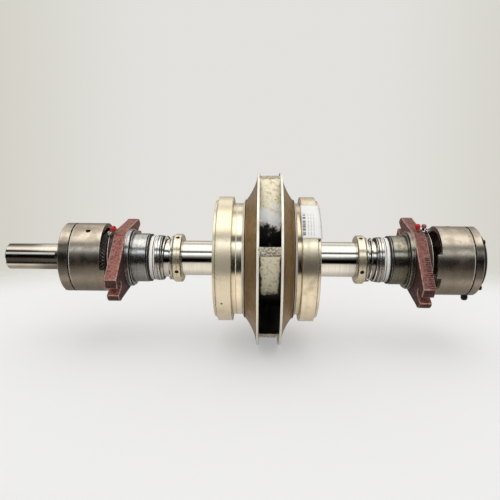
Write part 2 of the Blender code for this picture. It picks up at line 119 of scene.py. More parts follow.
class RingSizes(bpy.types.PropertyGroup):
    radius: length("Radius", "Radius of the ring's wide band", radius_of("wear_ring_left"))
    lip: length("Lip radius", "Radius of the narrower lip", 0.104)
    band: length("Band width", "Width of the wide band", 0.0252)
    pin_hole: length("Pin hole radius", "Radius of the small hole for the locking pin", 0.0018)


class SealSizes(bpy.types.PropertyGroup):
    collar: length("Collar radius", "Radius of the drive collars", radius_of("collar_left"))
    head: length("Head radius", "Radius of the seal's turning head", radius_of("seal_head_left"))
    seat: length("Seat radius", "Radius of the white ceramic seat", radius_of("seal_seat_left"))
    wire: length("Spring wire radius", "Radius of the spring's wire", 0.0015)
    coil: length("Spring radius", "Middle radius of the spring", 0.038)


class GlandSizes(bpy.types.PropertyGroup):
    nose: length("Nose radius", "Radius of the machined nose", 0.0434)
    register: length("Register radius", "Radius of the machined register", 0.0514)
    boss: length("Boss radius", "Radius of the boss behind the flange", 0.051)
    reach: length("Lobe reach", "Distance from the axis to a lobe's flat end", 0.1012)
    half_width: length("Lobe half width", "Half the width of a lobe", 0.0265)
    slot: length("Slot half width", "Half the width of a stud slot", 0.00675)


class HousingSizes(bpy.types.PropertyGroup):
    radius: length("Radius", "Outer radius of the bearing housings", radius_of("bearing_housing_right"))
    recess: length("Recess radius", "Radius of the open recess at the inner end", 0.053)
    hole: length("Oil hole radius", "Radius of the oil hole", 0.0044)
    screw: length("Screw head radius", "Radius of the end cover's screw heads", 0.0046)
    screws: IntProperty(name="Screws", description="Number of end cover screws", default=4, min=2, max=12)


class FinishColours(bpy.types.PropertyGroup):
    shaft: colour("Shaft steel", "Keyed shaft", (0.60, 0.56, 0.50))
    steel: colour("Polished steel", "Shaft sleeves", (0.76, 0.74, 0.67))
    satin: colour("Satin steel", "Bearing rings and the bright line in the seal cups", (0.64, 0.62, 0.58))
    olive: colour("Stained steel", "The right gland's nose and its ring", (0.36, 0.34, 0.28))
    bronze: colour("Turned bronze", "Wear rings, necks and collars", (0.90, 0.81, 0.62))
    casting: colour("Cast bronze", "Outside of the shrouds", (0.46, 0.32, 0.18))
    passage: colour("Rough bronze", "Passages and vanes", (0.92, 0.84, 0.63))
    primer: colour("Red oxide primer", "Glands", (0.25, 0.085, 0.065))
    housing: colour("Housing steel", "Bearing housings and covers", (0.54, 0.48, 0.40))
    recess: colour("Recess", "Unmachined inside of the housings", (0.12, 0.065, 0.07))
    rubber: colour("Rubber", "Seal cups and rings", (0.007, 0.007, 0.008))
    ceramic: colour("Ceramic", "Seal seats", (0.90, 0.89, 0.86))
    red: colour("Red plastic", "Port caps", (0.55, 0.012, 0.016))
    floor: colour("Floor", "Studio floor", (0.45, 0.45, 0.45))


class StudioSettings(bpy.types.PropertyGroup):
    brightness: FloatProperty(name="Brightness", description="Brightness of the surroundings",
                              default=1.0, min=0)
    distance: length("Camera distance", "Distance from the camera to the shaft's axis", 0.9894)
    lens: FloatProperty(name="Lens", description="Focal length in millimetres", default=39.67, min=10)


class PumpRotorSettings(bpy.types.PropertyGroup):
    shaft: PointerProperty(type=ShaftSizes)
    impeller: PointerProperty(type=ImpellerSizes)
    ring: PointerProperty(type=RingSizes)
    seal: PointerProperty(type=SealSizes)
    gland: PointerProperty(type=GlandSizes)
    housing: PointerProperty(type=HousingSizes)
    colours: PointerProperty(type=FinishColours)
    studio: PointerProperty(type=StudioSettings)


# Places on the rotor

def direction(angle):
    """The way out from the axis, and the way across it, at an angle above the near side."""
    turn = math.radians(angle)
    return (Vector((0, -math.cos(turn), math.sin(turn))),
            Vector((0, math.sin(turn), math.cos(turn))))


def spot(station, angle, radius, sideways=0.0):
    out, across = direction(angle)
    return Vector((MIDDLE + station, 0, 0)) + out * radius + across * sideways


def on_shaft(side=1):
    return Matrix.Translation((MIDDLE, 0, 0)) @ Matrix.Diagonal((side, 1, 1, 1))


def standing(station, angle):
    """Puts a turned piece's own axis on the line out from the shaft, so that its stations are radii."""
    out = direction(angle)[0]
    turn = Matrix((out, Vector((-1, 0, 0)), out.cross(Vector((-1, 0, 0))))).transposed().to_4x4()
    return Matrix.Translation(spot(station, angle, 0)) @ turn


# Meshes

def rounded(corners, closed):
    """Turns corners into a line, with the index of the finish of each stretch. A corner is (station,
    radius) and, if they are given, its fillet and the finish of what follows it."""
    full = [(*corner, *(EDGE, 0)[len(corner) - 2:]) for corner in corners]
    line = []
    for index, (station, radius, fillet, paint) in enumerate(full):
        here = Vector((station, radius))
        at_end = not closed and index in (0, len(full) - 1)
        if at_end or fillet == 0:
            line.append((here, paint))
            continue
        before = Vector(full[index - 1][:2]) - here
        after = Vector(full[(index + 1) % len(full)][:2]) - here
        half_turn = before.angle(after) / 2
        reach = min(fillet / math.tan(half_turn), before.length * FILLET_SHARE,
                    after.length * FILLET_SHARE)
        start = here + before.normalized() * reach
        end = here + after.normalized() * reach
        for step in range(FILLET_STEPS + 1):
            amount = step / FILLET_STEPS
            point = start * (1 - amount) ** 2 + here * 2 * amount * (1 - amount) + end * amount ** 2
            line.append((point, paint if step == FILLET_STEPS else full[index - 1][3]))
    return line


def revolved(corners, place, closed=True, sides=ROUND_SIDES):
    """A mesh spun about the shaft's axis, or about any axis that the matrix places."""
    line = rounded(corners, closed)
    shape = bmesh.new()
    rings = []
    for point, _ in line:
        if point.y < NOUGHT:
            rings.append([shape.verts.new(place @ Vector((point.x, 0, 0)))] * sides)
            continue
        ring = []
        for index in range(sides):
            turn = 2 * math.pi * index / sides
            corner = Vector((point.x, -point.y * math.cos(turn), point.y * math.sin(turn)))
            ring.append(shape.verts.new(place @ corner))
        rings.append(ring)
    stretches = len(rings) if closed else len(rings) - 1
    for index in range(stretches):
        first, second = rings[index], rings[(index + 1) % len(rings)]
        for step in range(sides):
            following = (step + 1) % sides
            loop = (first[step], first[following], second[following], second[step])
            corners_of_face = list(dict.fromkeys(loop))
            if len(corners_of_face) > 2:
                shape.faces.new(corners_of_face).material_index = line[index][1]
    bmesh.ops.remove_doubles(shape, verts=shape.verts, dist=NOUGHT)
    bmesh.ops.dissolve_degenerate(shape, edges=shape.edges, dist=NOUGHT / 10)
    return shape


def prism(loop, push, shape=None):
    """A closed solid from a flat loop of points, pushed along a vector, alone or beside others."""
    shape = shape or bmesh.new()
    near = [shape.verts.new(point) for point in loop]
    far = [shape.verts.new(Vector(point) + push) for point in loop]
    shape.faces.new(near)
    shape.faces.new(far[::-1])
    for index, corner in enumerate(near):
        following = (index + 1) % len(near)
        shape.faces.new((corner, far[index], far[following], near[following]))
    return shape


def shade(mesh):
    """Smooth shading, apart from edges that are sharp."""
    mesh.shade_smooth()
    mesh.set_sharp_from_angle(angle=SHARP_ANGLE)


def piece(name, shape, *materials):
    """Makes a smooth-shaded object from a closed shape, with its faces outwards."""
    bmesh.ops.recalc_face_normals(shape, faces=shape.faces)
    mesh = bpy.data.meshes.new(name)
    shape.to_mesh(mesh)
    shape.free()
    for material in materials:
        mesh.materials.append(material)
    shade(mesh)
    item = bpy.data.objects.new(name, mesh)
    bpy.context.scene.collection.objects.link(item)
    return item


def settle(item):
    """Turns an object's modifiers into a plain mesh and removes them."""
    graph = bpy.context.evaluated_depsgraph_get()
    result = bpy.data.meshes.new_from_object(item.evaluated_get(graph), depsgraph=graph)
    old = item.data
    item.modifiers.clear()
    item.data = result
    bpy.data.meshes.remove(old)
    result.name = item.name


def combined(item, operation, others):
    """Cuts or joins other solids, which are used up."""
    for other in others:
        step = item.modifiers.new(operation, "BOOLEAN")
        step.object = other
        step.operation = operation
        step.solver = "EXACT"
    settle(item)
    for other in others:
        bpy.data.objects.remove(other)
    shade(item.data)


def softened(item, width=0.0, finish=-1):
    """Rounds what is still sharp, in a finish of its own if asked, and evens the shading of flat faces."""
    if width:
        bevel = item.modifiers.new("Bevel", "BEVEL")
        bevel.width = width
        bevel.segments = 2
        bevel.limit_method = "ANGLE"
        bevel.angle_limit = SHARP_ANGLE
        bevel.miter_outer = "MITER_ARC"
        bevel.material = finish
    even = item.modifiers.new("Even", "WEIGHTED_NORMAL")
    even.keep_sharp = True
    settle(item)
    return item


def peg(station, angle, inner, outer, radius, sides=FINE_SIDES):
    """A cutter for a round hole towards the shaft's axis."""
    corners = [(inner, 0), (inner, radius, 0), (outer, radius, 0), (outer, 0)]
    return piece("cutter", revolved(corners, standing(station, angle), closed=False, sides=sides))


def dress(item, body, slot, *nodes):
    """Puts a piece on its body, and in place of the solids that it stands for. The slot is not used."""
    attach(item, body)
    if nodes:
        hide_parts(*nodes)


def turned_piece(name, corners, place, finishes, body, slot, *nodes, closed=True, sides=ROUND_SIDES):
    """A piece that is ready once it is turned."""
    item = piece(name, revolved(corners, place, closed, sides), *finishes)
    dress(softened(item), body, slot, *nodes)


# Nodes

FLOAT = "NodeSocketFloat"
GEOMETRY = "NodeSocketGeometry"


def connect(tree, value, socket):
    if value is None:
        return
    if isinstance(value, bpy.types.NodeSocket):
        tree.links.new(value, socket)
    else:
        socket.default_value = value


def add(tree, kind, *values, **settings):
    """Adds a node, fills its inputs in order and gives back its first output."""
    node = tree.nodes.new(kind)
    for name, value in settings.items():
        setattr(node, name, value)
    for socket, value in zip(node.inputs, values):
        connect(tree, value, socket)
    return node.outputs[0]


def calc(tree, operation, *values):
    return add(tree, "ShaderNodeMath", *values, operation=operation)


def product(tree, first, *others):
    for other in others:
        first = calc(tree, "MULTIPLY", first, other)
    return first


def opposite(tree, value):
    return calc(tree, "SUBTRACT", 1.0, value)


def vector_calc(tree, operation, first, second=None, scale=None):
    """Vector maths. A length or a product comes out as a value, and anything else as a vector."""
    node = tree.nodes.new("ShaderNodeVectorMath")
    node.operation = operation
    for index, value in ((0, first), (1, second), (3, scale)):
        connect(tree, value, node.inputs[index])
    return node.outputs["Value" if operation in ("LENGTH", "DOT_PRODUCT") else "Vector"]


def ease(tree, value, low, high, start=0.0, end=1.0):
    return add(tree, "ShaderNodeMapRange", value, low, high, start, end,
               interpolation_type="SMOOTHSTEP")


def blend(tree, amount, first, second):
    node = tree.nodes.new("ShaderNodeMix")
    node.data_type = "RGBA"
    for index, value in ((0, amount), (6, first), (7, second)):
        if index and not isinstance(value, bpy.types.NodeSocket):
            value = (*value[:3], 1)
        connect(tree, value, node.inputs[index])
    return node.outputs[2]


def noise(tree, vector, scale, detail=4.0, roughness=0.55):
    return add(tree, "ShaderNodeTexNoise", vector, None, scale, detail, roughness)


def line_noise(tree, place, scale, detail=2.0):
    return add(tree, "ShaderNodeTexNoise", None, place, scale, detail, noise_dimensions="1D")


def unevenness(tree, place, scale):
    """Noise about nought."""
    return calc(tree, "SUBTRACT", noise(tree, place, scale, 5.0), 0.5)


def parts_of(tree, vector):
    parts = tree.nodes.new("ShaderNodeSeparateXYZ")
    tree.links.new(vector, parts.inputs[0])
    return parts.outputs


def object_place(tree):
    """The place on the object, as a vector and as its three parts."""
    place = tree.nodes.new("ShaderNodeTexCoord").outputs["Object"]
    return place, *parts_of(tree, place)


def group(name, kind, inputs, outputs):
    """Starts a node group with named sockets."""
    tree = bpy.data.node_groups.new(name, kind)
    for label, socket_type, value in inputs:
        socket = tree.interface.new_socket(name=label, in_out="INPUT", socket_type=socket_type)
        if value is not None:
            socket.default_value = value
    for label, socket_type in outputs:
        tree.interface.new_socket(name=label, in_out="OUTPUT", socket_type=socket_type)
    given = tree.nodes.new("NodeGroupInput").outputs
    wanted = tree.nodes.new("NodeGroupOutput").inputs
    return tree, given, wanted


def shader_group(name, inputs, *outputs):
    """Starts a group of shader nodes whose sockets all carry plain values."""
    return group(name, "ShaderNodeTree", [(label, FLOAT, value) for label, value in inputs.items()],
                 [(label, FLOAT) for label in outputs])


def place_group(tree, name, **values):
    node = tree.nodes.new("ShaderNodeGroup")
    node.node_tree = bpy.data.node_groups[name]
    for label, value in values.items():
        connect(tree, value, node.inputs[label])
    return node.outputs


def new_material(name):
    material = bpy.data.materials.new(name)
    material.use_nodes = True
    return material, material.node_tree


# Lathe rings, blotches, wear and painted crevice shade
TONE_RINGS = 0.12
GRAIN_TIMES = 14.0
WEAR_SPOTS = 140.0
WEAR_BEND = (0.01, 0.18)
WEAR_STRENGTHS = (0.3, 0.7, 0.35, 1.0)
CREVICE_SHADE_OPENNESS = (0.25, 0.95, 1.0, 0.0)
EFFECT_SAMPLES = 4

# Painted dark band, for shade on the glands' primer and the ribs and a dark reflection on the covers:
# metres over which its edges fade and wander
BAND_FADE = 0.008
BAND_WANDER = 0.024
BAND_SPOTS = 45.0

# Passages: how far a face looks outwards, then heights and half widths in metres. Away from the sand the
# passages are painted black as shade, and the upper ones get a painted highlight below the sand.
OUTWARD_SHARES = (0.25, 0.55)
PASSAGE_SPOTS = 60.0
UPPER_HEIGHTS = (0.035, 0.055)
UPPER_SAND_INSET = 0.0065
LOWEST_SAND = (-0.126, -0.112)
SAND_HALF_WIDTHS = (0.0120, 0.0150)
SAND_WANDER = 0.010
SAND_WIDENING = 0.06
HIGHLIGHT_FADE = 0.004
TIP_SPOTS = 420.0
TIP_STRENGTHS = (0.4, 0.6, 0.3, 1.0)
# Painted shade: the tone deep in the passages, on faces that look inwards and below the lowest sand
PASSAGE_SHADE_TONE = (0.006, 0.005, 0.004)
TIP_TONE = (0.20, 0.17, 0.14)
PAINTED_HIGHLIGHT_TONE = (1.0, 1.0, 0.98)
DARK_ROUGHNESS_SHARE = 0.4


def build_turning_marks():
    """Rings from the lathe: along the shaft on round sides, and across it on end faces."""
    tree, given, wanted = shader_group("Turning marks", {"Rings": 2500.0}, "Height", "Tone")
    _, along, across, upward = object_place(tree)
    squares = [calc(tree, "POWER", part, 2.0) for part in (across, upward)]
    radius = calc(tree, "SQRT", calc(tree, "ADD", *squares))
    wide = calc(tree, "MULTIPLY", given["Rings"], TONE_RINGS)
    for label, scale in (("Height", given["Rings"]), ("Tone", wide)):
        both = [line_noise(tree, part, scale) for part in (along, radius)]
        tree.links.new(calc(tree, "MULTIPLY", calc(tree, "ADD", *both), 0.5), wanted[label])


def build_mottle():
    """Blotches with a fine grain inside them."""
    tree, given, wanted = shader_group("Mottle", {"Scale": 60.0, "Low": 0.45, "High": 0.65},
                                       "Mask", "Grain")
    place = object_place(tree)[0]
    blotch = noise(tree, place, given["Scale"], 6.0, 0.62)
    tree.links.new(ease(tree, blotch, given["Low"], given["High"]), wanted["Mask"])
    fine = calc(tree, "MULTIPLY", given["Scale"], GRAIN_TIMES)
    tree.links.new(noise(tree, place, fine, 3.0, 0.7), wanted["Grain"])


def build_edge_wear():
    """A mask that is high along outer and inner edges."""
    tree, given, wanted = shader_group("Edge wear", {"Width": 0.001}, "Mask")
    face = tree.nodes.new("ShaderNodeNewGeometry").outputs["Normal"]
    rounded_face = add(tree, "ShaderNodeBevel", given["Width"], samples=EFFECT_SAMPLES)
    bend = opposite(tree, vector_calc(tree, "DOT_PRODUCT", face, rounded_face))
    uneven = ease(tree, noise(tree, object_place(tree)[0], WEAR_SPOTS), *WEAR_STRENGTHS)
    tree.links.new(calc(tree, "MULTIPLY", ease(tree, bend, *WEAR_BEND), uneven), wanted["Mask"])


def build_crevice_dirt():
    """Painted shade: a mask from ambient occlusion that is high where faces close in on each other."""
    tree, given, wanted = shader_group("Crevice dirt", {"Distance": 0.012}, "Mask")
    node = tree.nodes.new("ShaderNodeAmbientOcclusion")
    node.samples = EFFECT_SAMPLES
    tree.links.new(given["Distance"], node.inputs["Distance"])
    tree.links.new(ease(tree, node.outputs["AO"], *CREVICE_SHADE_OPENNESS), wanted["Mask"])


def build_passage_sand_and_shade():
    """Sand with ragged ends on faces that look outwards near the rim, a painted highlight below it in the
    upper passages, and the vanes' tips at the very rim. Where the mask is low the passage is painted in
    shade."""
    inputs = {"Inner": 0.118, "Outer": 0.124, "Shine": 0.113, "Ragged": 0.022, "Tips": 0.1514}
    tree, given, wanted = shader_group("Passage deposit", inputs, "Mask", "Tip", "Shine")
    place, along, _, height = object_place(tree)
    facing = tree.nodes.new("ShaderNodeTexCoord").outputs["Normal"]
    out = vector_calc(tree, "MULTIPLY", place, (0, 1, 1))
    radius = vector_calc(tree, "LENGTH", out)
    share = calc(tree, "DIVIDE", vector_calc(tree, "DOT_PRODUCT", out, facing), radius)
    uneven = unevenness(tree, place, PASSAGE_SPOTS)
    ragged = calc(tree, "MULTIPLY_ADD", uneven, given["Ragged"], radius)
    lifted = ease(tree, height, *UPPER_HEIGHTS)
    inset = calc(tree, "MULTIPLY_ADD", lifted, -UPPER_SAND_INSET, ragged)
    across = calc(tree, "ABSOLUTE", calc(tree, "SUBTRACT", along, MIDDLE))
    across = calc(tree, "MULTIPLY_ADD", uneven, SAND_WANDER, across)
    across = calc(tree, "MULTIPLY_ADD", calc(tree, "MAXIMUM", height, 0.0), -SAND_WIDENING, across)
    within = product(tree, ease(tree, share, *OUTWARD_SHARES), ease(tree, height, *LOWEST_SAND),
                     ease(tree, across, *SAND_HALF_WIDTHS, 1.0, 0.0))
    sandy = calc(tree, "MULTIPLY", ease(tree, inset, given["Inner"], given["Outer"]), within)
    highlight_end = calc(tree, "ADD", given["Shine"], HIGHLIGHT_FADE)
    # Painted highlight below the sand in the upper passages
    bright = product(tree, ease(tree, ragged, given["Shine"], highlight_end), lifted, within)
    tip = calc(tree, "GREATER_THAN", radius, given["Tips"])
    speckled = ease(tree, noise(tree, place, TIP_SPOTS), *TIP_STRENGTHS)
    shown = calc(tree, "MAXIMUM", calc(tree, "MAXIMUM", sandy, bright), tip)
    tree.links.new(shown, wanted["Mask"])
    tree.links.new(calc(tree, "MULTIPLY", bright, opposite(tree, sandy)), wanted["Shine"])
    tree.links.new(calc(tree, "MULTIPLY", tip, speckled), wanted["Tip"])


def build_dark_band():
    """A painted dark band between two heights, with ragged edges: shade on the glands' primer and the
    ribs, and a dark reflection on the covers.
    """
    tree, given, wanted = shader_group("Oil band", {"Bottom": 0.0, "Top": 0.03}, "Mask")
    place, _, _, height = object_place(tree)
    ragged = calc(tree, "MULTIPLY_ADD", unevenness(tree, place, BAND_SPOTS), BAND_WANDER, height)
    sides = []
    for label, strengths in (("Bottom", (0.0, 1.0)), ("Top", (1.0, 0.0))):
        end = calc(tree, "ADD", given[label], BAND_FADE)
        sides.append(ease(tree, ragged, given[label], end, *strengths))
    tree.links.new(calc(tree, "MULTIPLY", *sides), wanted["Mask"])


# Finishes

MARK_SHADES = (0.35, 0.65, 0.0, 0.35)
MARK_ROUGHNESS = 0.10
BAND_STRENGTH = 0.7
BAND_SHARE = 0.12
CREVICE_SHADE_SHARE = 0.18
WORN_STEEL = (0.92, 0.91, 0.87)
WORN_BRONZE = (1.0, 0.96, 0.85)
# Painted light: the left gland's primer is a brighter copy of the right's
PRIMER_PAINTED_LIGHT = {"left": 1.35, "right": 1.0}


def share_of(tone, share):
    return [part * share for part in tone]


def surface(name, base, stain, roughness, metallic, rings=0.0, ring_depth=0.0, spots=60.0, low=0.45,
            high=0.65, stain_amount=0.5, grain=0.0, wear=None, wear_width=0.0008, dirt=0.0, coat=0.0,
            band=None):
    """A finish with blotches, grain, lathe rings, worn edges and painted crevice shade, each as strong as
    asked.
    """
    known = bpy.data.materials.get(name)
    if known:
        return known
    material, tree = new_material(name)
    shader = tree.nodes["Principled BSDF"]
    mottle = place_group(tree, "Mottle", Scale=spots, Low=low, High=high)
    tone = blend(tree, calc(tree, "MULTIPLY", mottle["Mask"], stain_amount), base, stain)
    rough = calc(tree, "MULTIPLY_ADD", mottle["Mask"], roughness[1] - roughness[0], roughness[0])
    height = calc(tree, "MULTIPLY", mottle["Grain"], grain)
    if rings:
        marks = place_group(tree, "Turning marks", Rings=rings)
        tone = blend(tree, ease(tree, marks["Tone"], *MARK_SHADES), tone, stain)
        height = calc(tree, "MULTIPLY_ADD", marks["Height"], ring_depth, height)
        rough = calc(tree, "MULTIPLY_ADD", marks["Height"], MARK_ROUGHNESS, rough)
    # A painted dark band between the given heights
    if band:
        banded = place_group(tree, "Oil band", Bottom=band[0], Top=band[1])
        tone = blend(tree, calc(tree, "MULTIPLY", banded["Mask"], BAND_STRENGTH), tone,
                     share_of(stain, BAND_SHARE))
    # Painted shade: darkens the colour where faces close in, as strong as asked
    if dirt:
        crevice = place_group(tree, "Crevice dirt")
        tone = blend(tree, calc(tree, "MULTIPLY", crevice["Mask"], dirt), tone,
                     share_of(stain, CREVICE_SHADE_SHARE))
    if wear:
        edge = place_group(tree, "Edge wear", Width=wear_width)
        tone = blend(tree, edge["Mask"], tone, wear)
    connect(tree, tone, shader.inputs["Base Color"])
    connect(tree, rough, shader.inputs["Roughness"])
    shader.inputs["Metallic"].default_value = metallic
    shader.inputs["Coat Weight"].default_value = coat
    bump = tree.nodes.new("ShaderNodeBump")
    bump.inputs["Strength"].default_value = 1.0
    bump.inputs["Distance"].default_value = 1.0
    tree.links.new(height, bump.inputs["Height"])
    tree.links.new(bump.outputs[0], shader.inputs["Normal"])
    return material


def polished_steel(name, base, stain, stain_amount):
    return surface(name, base, stain, (0.04, 0.08), 1.0, rings=3000.0, ring_depth=0.000001, spots=25.0,
                   stain_amount=stain_amount, grain=0.000001)


def shaft_steel(colours):
    return polished_steel("Shaft steel", colours.shaft, (0.42, 0.35, 0.28), 0.3)


def sleeve_steel(colours):
    return polished_steel("Polished steel", colours.steel, (0.54, 0.50, 0.44), 0.2)


def turned_steel(name, base, stain, roughness, metallic, **settings):
    return surface(name, base, stain, roughness, metallic, rings=1800.0, **settings)


def satin_steel(colours):
    return turned_steel("Satin steel", colours.satin, (0.32, 0.29, 0.25), (0.16, 0.30), 0.88,
                        ring_depth=0.00001, spots=70.0, stain_amount=0.45, grain=0.00001,
                        wear=WORN_STEEL, dirt=0.5)


def ring_steel():
    """Polished rings with painted shade in the crevices between them."""
    return turned_steel("Ring steel", (0.82, 0.80, 0.76), (0.30, 0.28, 0.25), (0.10, 0.20), 0.95,
                        ring_depth=0.000006, spots=110.0, stain_amount=0.4, grain=0.000005,
                        wear=(0.98, 0.97, 0.94), wear_width=0.0012, dirt=1.0)


def nose_steel(colours, name):
    """The glands' machined noses: bright on the left, and stained olive on the right."""
    if name == "left":
        return turned_steel("Nose steel", (0.55, 0.555, 0.56), (0.24, 0.21, 0.18), (0.13, 0.24), 0.97,
                            ring_depth=0.000006, spots=130.0, low=0.50, high=0.64, stain_amount=0.45,
                            grain=0.00001, wear=WORN_STEEL, dirt=0.6)
    return turned_steel("Stained steel", colours.olive, (0.12, 0.11, 0.08), (0.14, 0.26), 0.98,
                        ring_depth=0.00001, spots=90.0, stain_amount=0.5, grain=0.00002,
                        wear=(0.85, 0.84, 0.80), dirt=0.6)


def housing_steel(colours, name="Housing steel", roughness=(0.20, 0.32), band=None):
    return surface(name, colours.housing, (0.24, 0.19, 0.15), roughness, 1.0, rings=500.0,
                   ring_depth=0.00001, spots=50.0, low=0.4, high=0.66, stain_amount=0.5, grain=0.00005,
                   wear=(0.95, 0.92, 0.85), wear_width=0.0016, dirt=0.5, band=band)


def cover_steel(colours):
    """The housings' steel with a painted dark reflection in a band just above the axis."""
    return housing_steel(colours, "Cover steel", (0.18, 0.30), (0.002, 0.030))


def black_steel():
    return surface("Black steel", (0.02, 0.02, 0.02), (0.05, 0.045, 0.04), (0.3, 0.45), 0.6, spots=120.0,
                   grain=0.00002, wear=(0.2, 0.2, 0.19))


def fitting_steel():
    return surface("Bright fitting", (0.80, 0.79, 0.77), (0.35, 0.33, 0.30), (0.08, 0.2), 1.0,
                   spots=120.0, stain_amount=0.4, grain=0.00001, dirt=0.7)


def spring_wire():
    return surface("Spring wire", (0.93, 0.90, 0.85), (0.30, 0.27, 0.24), (0.05, 0.14), 1.0, spots=120.0,
                   stain_amount=0.3, grain=0.000005, dirt=1.0)


def rib_metal():
    # Its dark band above the axis is painted shade on the upper ribs
    return surface("Rib metal", (0.55, 0.54, 0.52), (0.20, 0.19, 0.18), (0.3, 0.45), 0.2, spots=150.0,
                   band=(0.012, 0.06))


def turned_bronze(name, colours, stain, roughness, metallic, **settings):
    return surface(name, colours.bronze, stain, roughness, metallic, rings=900.0, spots=45.0, low=0.5,
                   high=0.72, wear=WORN_BRONZE, dirt=0.4, **settings)


def ring_bronze(colours, name="Turned bronze", metallic=0.86):
    return turned_bronze(name, colours, (0.66, 0.55, 0.38), (0.18, 0.30), metallic, ring_depth=0.00002,
                         stain_amount=0.4, grain=0.00001)


def dull_bronze(colours):
    return ring_bronze(colours, "Dull bronze", 0.58)


def neck_bronze(colours):
    return turned_bronze("Polished bronze", colours, (0.60, 0.48, 0.32), (0.07, 0.15), 0.95,
                         ring_depth=0.000006, stain_amount=0.3, grain=0.000005)


def cast_bronze(colours):
    return surface("Cast bronze", colours.casting, (0.24, 0.155, 0.08), (0.36, 0.50), 0.85, spots=70.0,
                   low=0.42, high=0.68, stain_amount=0.35, grain=0.00006, wear=(0.70, 0.56, 0.36),
                   dirt=0.6)


# Painted shade: the casting darkened beside the rims and in the shoulder groove
def shaded_casting(colours):
    return surface("Dark casting", share_of(colours.casting, 0.35), (0.05, 0.03, 0.015), (0.40, 0.60),
                   0.7, spots=120.0, stain_amount=0.4, grain=0.00008, dirt=0.6)


# Bare metal that is also painted bright as highlight: rims, neck lines, the shoulder, bevels and seam
# lines
def bare_edge_and_highlight():
    return surface("Bare edge and painted highlight", (0.95, 0.90, 0.79), (0.62, 0.54, 0.40), (0.25, 0.40), 0.2, spots=150.0,
                   low=0.55, high=0.75, stain_amount=0.35, grain=0.00002)


def rough_bronze(colours):
    """Sandy where the faces look outwards near the rim, with a painted highlight in the upper passages,
    and elsewhere painted black as shade, and smoother.
    """
    known = bpy.data.materials.get("Rough bronze")
    if known:
        return known
    material = surface("Rough bronze", colours.passage, (0.42, 0.33, 0.18), (0.45, 0.65), 0.15,
                       spots=200.0, low=0.48, high=0.68, stain_amount=0.7, grain=0.0004,
                       wear=(0.95, 0.91, 0.80), wear_width=0.0014, dirt=0.6)
    tree = material.node_tree
    sand = place_group(tree, "Passage deposit")
    shader = tree.nodes["Principled BSDF"]
    tone = blend(tree, sand["Tip"], shader.inputs["Base Color"].links[0].from_socket, TIP_TONE)
    tone = blend(tree, sand["Shine"], tone, PAINTED_HIGHLIGHT_TONE)
    # Painted shade wherever the sand, the painted highlight and the tips don't show
    tree.links.new(blend(tree, sand["Mask"], PASSAGE_SHADE_TONE, tone), shader.inputs["Base Color"])
    smoother = ease(tree, sand["Mask"], 0.0, 1.0, DARK_ROUGHNESS_SHARE, 1.0)
    rough = shader.inputs["Roughness"].links[0].from_socket
    tree.links.new(calc(tree, "MULTIPLY", rough, smoother), shader.inputs["Roughness"])
    return material


def primer(colours, name):
    return surface(f"Red oxide primer {name}", share_of(colours.primer, PRIMER_PAINTED_LIGHT[name]),
                   (0.070, 0.020, 0.018), (0.45, 0.70), 0.0, spots=260.0, low=0.44, high=0.60,
                   stain_amount=0.8, grain=0.0003, dirt=0.8)


def primer_shaded_below(colours):
    """Primer with painted shade below the shaft's axis."""
    return surface("Primer shaded below", colours.primer, (0.10, 0.02, 0.02), (0.50, 0.70), 0.0, spots=200.0,
                   low=0.44, high=0.60, stain_amount=0.6, grain=0.0002, dirt=0.8, band=(-0.2, 0.012))


# Painted shade: the primer at a fifth of its tone, for the boss and the edge grooves
def primer_in_shadow(colours):
    return surface("Primer in painted shadow", share_of(colours.primer, 0.2), (0.01, 0.004, 0.003), (0.5, 0.7), 0.0,
                   spots=150.0, grain=0.0002, dirt=0.6)


def worn_primer(colours):
    return surface("Worn primer", (0.52, 0.33, 0.27), colours.primer, (0.45, 0.65), 0.0, spots=150.0,
                   low=0.45, high=0.60, stain_amount=0.8, grain=0.0002)


def recess_paint(colours):
    return surface("Recess", colours.recess, (0.02, 0.01, 0.008), (0.5, 0.7), 0.0, spots=90.0,
                   grain=0.0002, dirt=0.5)


def rubber(colours):
    return surface("Rubber", colours.rubber, (0.015, 0.015, 0.015), (0.50, 0.65), 0.0, spots=120.0,
                   stain_amount=0.5, grain=0.00002, dirt=0.9)


def ceramic(colours):
    return surface("Ceramic", colours.ceramic, (0.62, 0.60, 0.54), (0.18, 0.3), 0.0, spots=60.0,
                   stain_amount=0.3, grain=0.000005, dirt=0.4)


def glossy_plastic(name, base, stain, roughness, spots):
    return surface(name, base, stain, roughness, 0.0, spots=spots, grain=0.00003, coat=0.5)


def red_plastic(colours):
    return glossy_plastic("Red plastic", colours.red, (0.30, 0.006, 0.01), (0.18, 0.3), 160.0)


def plum_plastic():
    return glossy_plastic("Plum plastic", (0.30, 0.09, 0.12), (0.05, 0.01, 0.02), (0.2, 0.35), 200.0)


# Geometry trees

SWELL_POWER = 2.0
INLET_RADIUS = 0.060
INLET_HALF = 0.0297
INLET_SLOPE = 0.5015
VANE_BITE = 0.0012
VANE_SPOTS = 260.0
VANE_POINTS = {"Vertices X": 60, "Vertices Y": 36, "Vertices Z": 4}
SPRING_STEPS = 240
WIRE_SIDES = 14


def geometry_group(name, inputs):
    """Starts a geometry tree that takes geometry, plain values and a material."""
    sockets = [("Geometry", GEOMETRY, None)]
    sockets += [(label, "NodeSocketInt" if isinstance(value, int) else FLOAT, value)
                for label, value in inputs.items()]
    sockets.append(("Material", "NodeSocketMaterial", None))
    return group(name, "GeometryNodeTree", sockets, [("Geometry", GEOMETRY)])


def finish_tree(tree, made, material, wanted):
    """Ends a tree with real geometry in the given material."""
    solid = add(tree, "GeometryNodeRealizeInstances", made)
    coated = tree.nodes.new("GeometryNodeSetMaterial")
    tree.links.new(solid, coated.inputs["Geometry"])
    tree.links.new(material, coated.inputs["Material"])
    tree.links.new(coated.outputs[0], wanted)


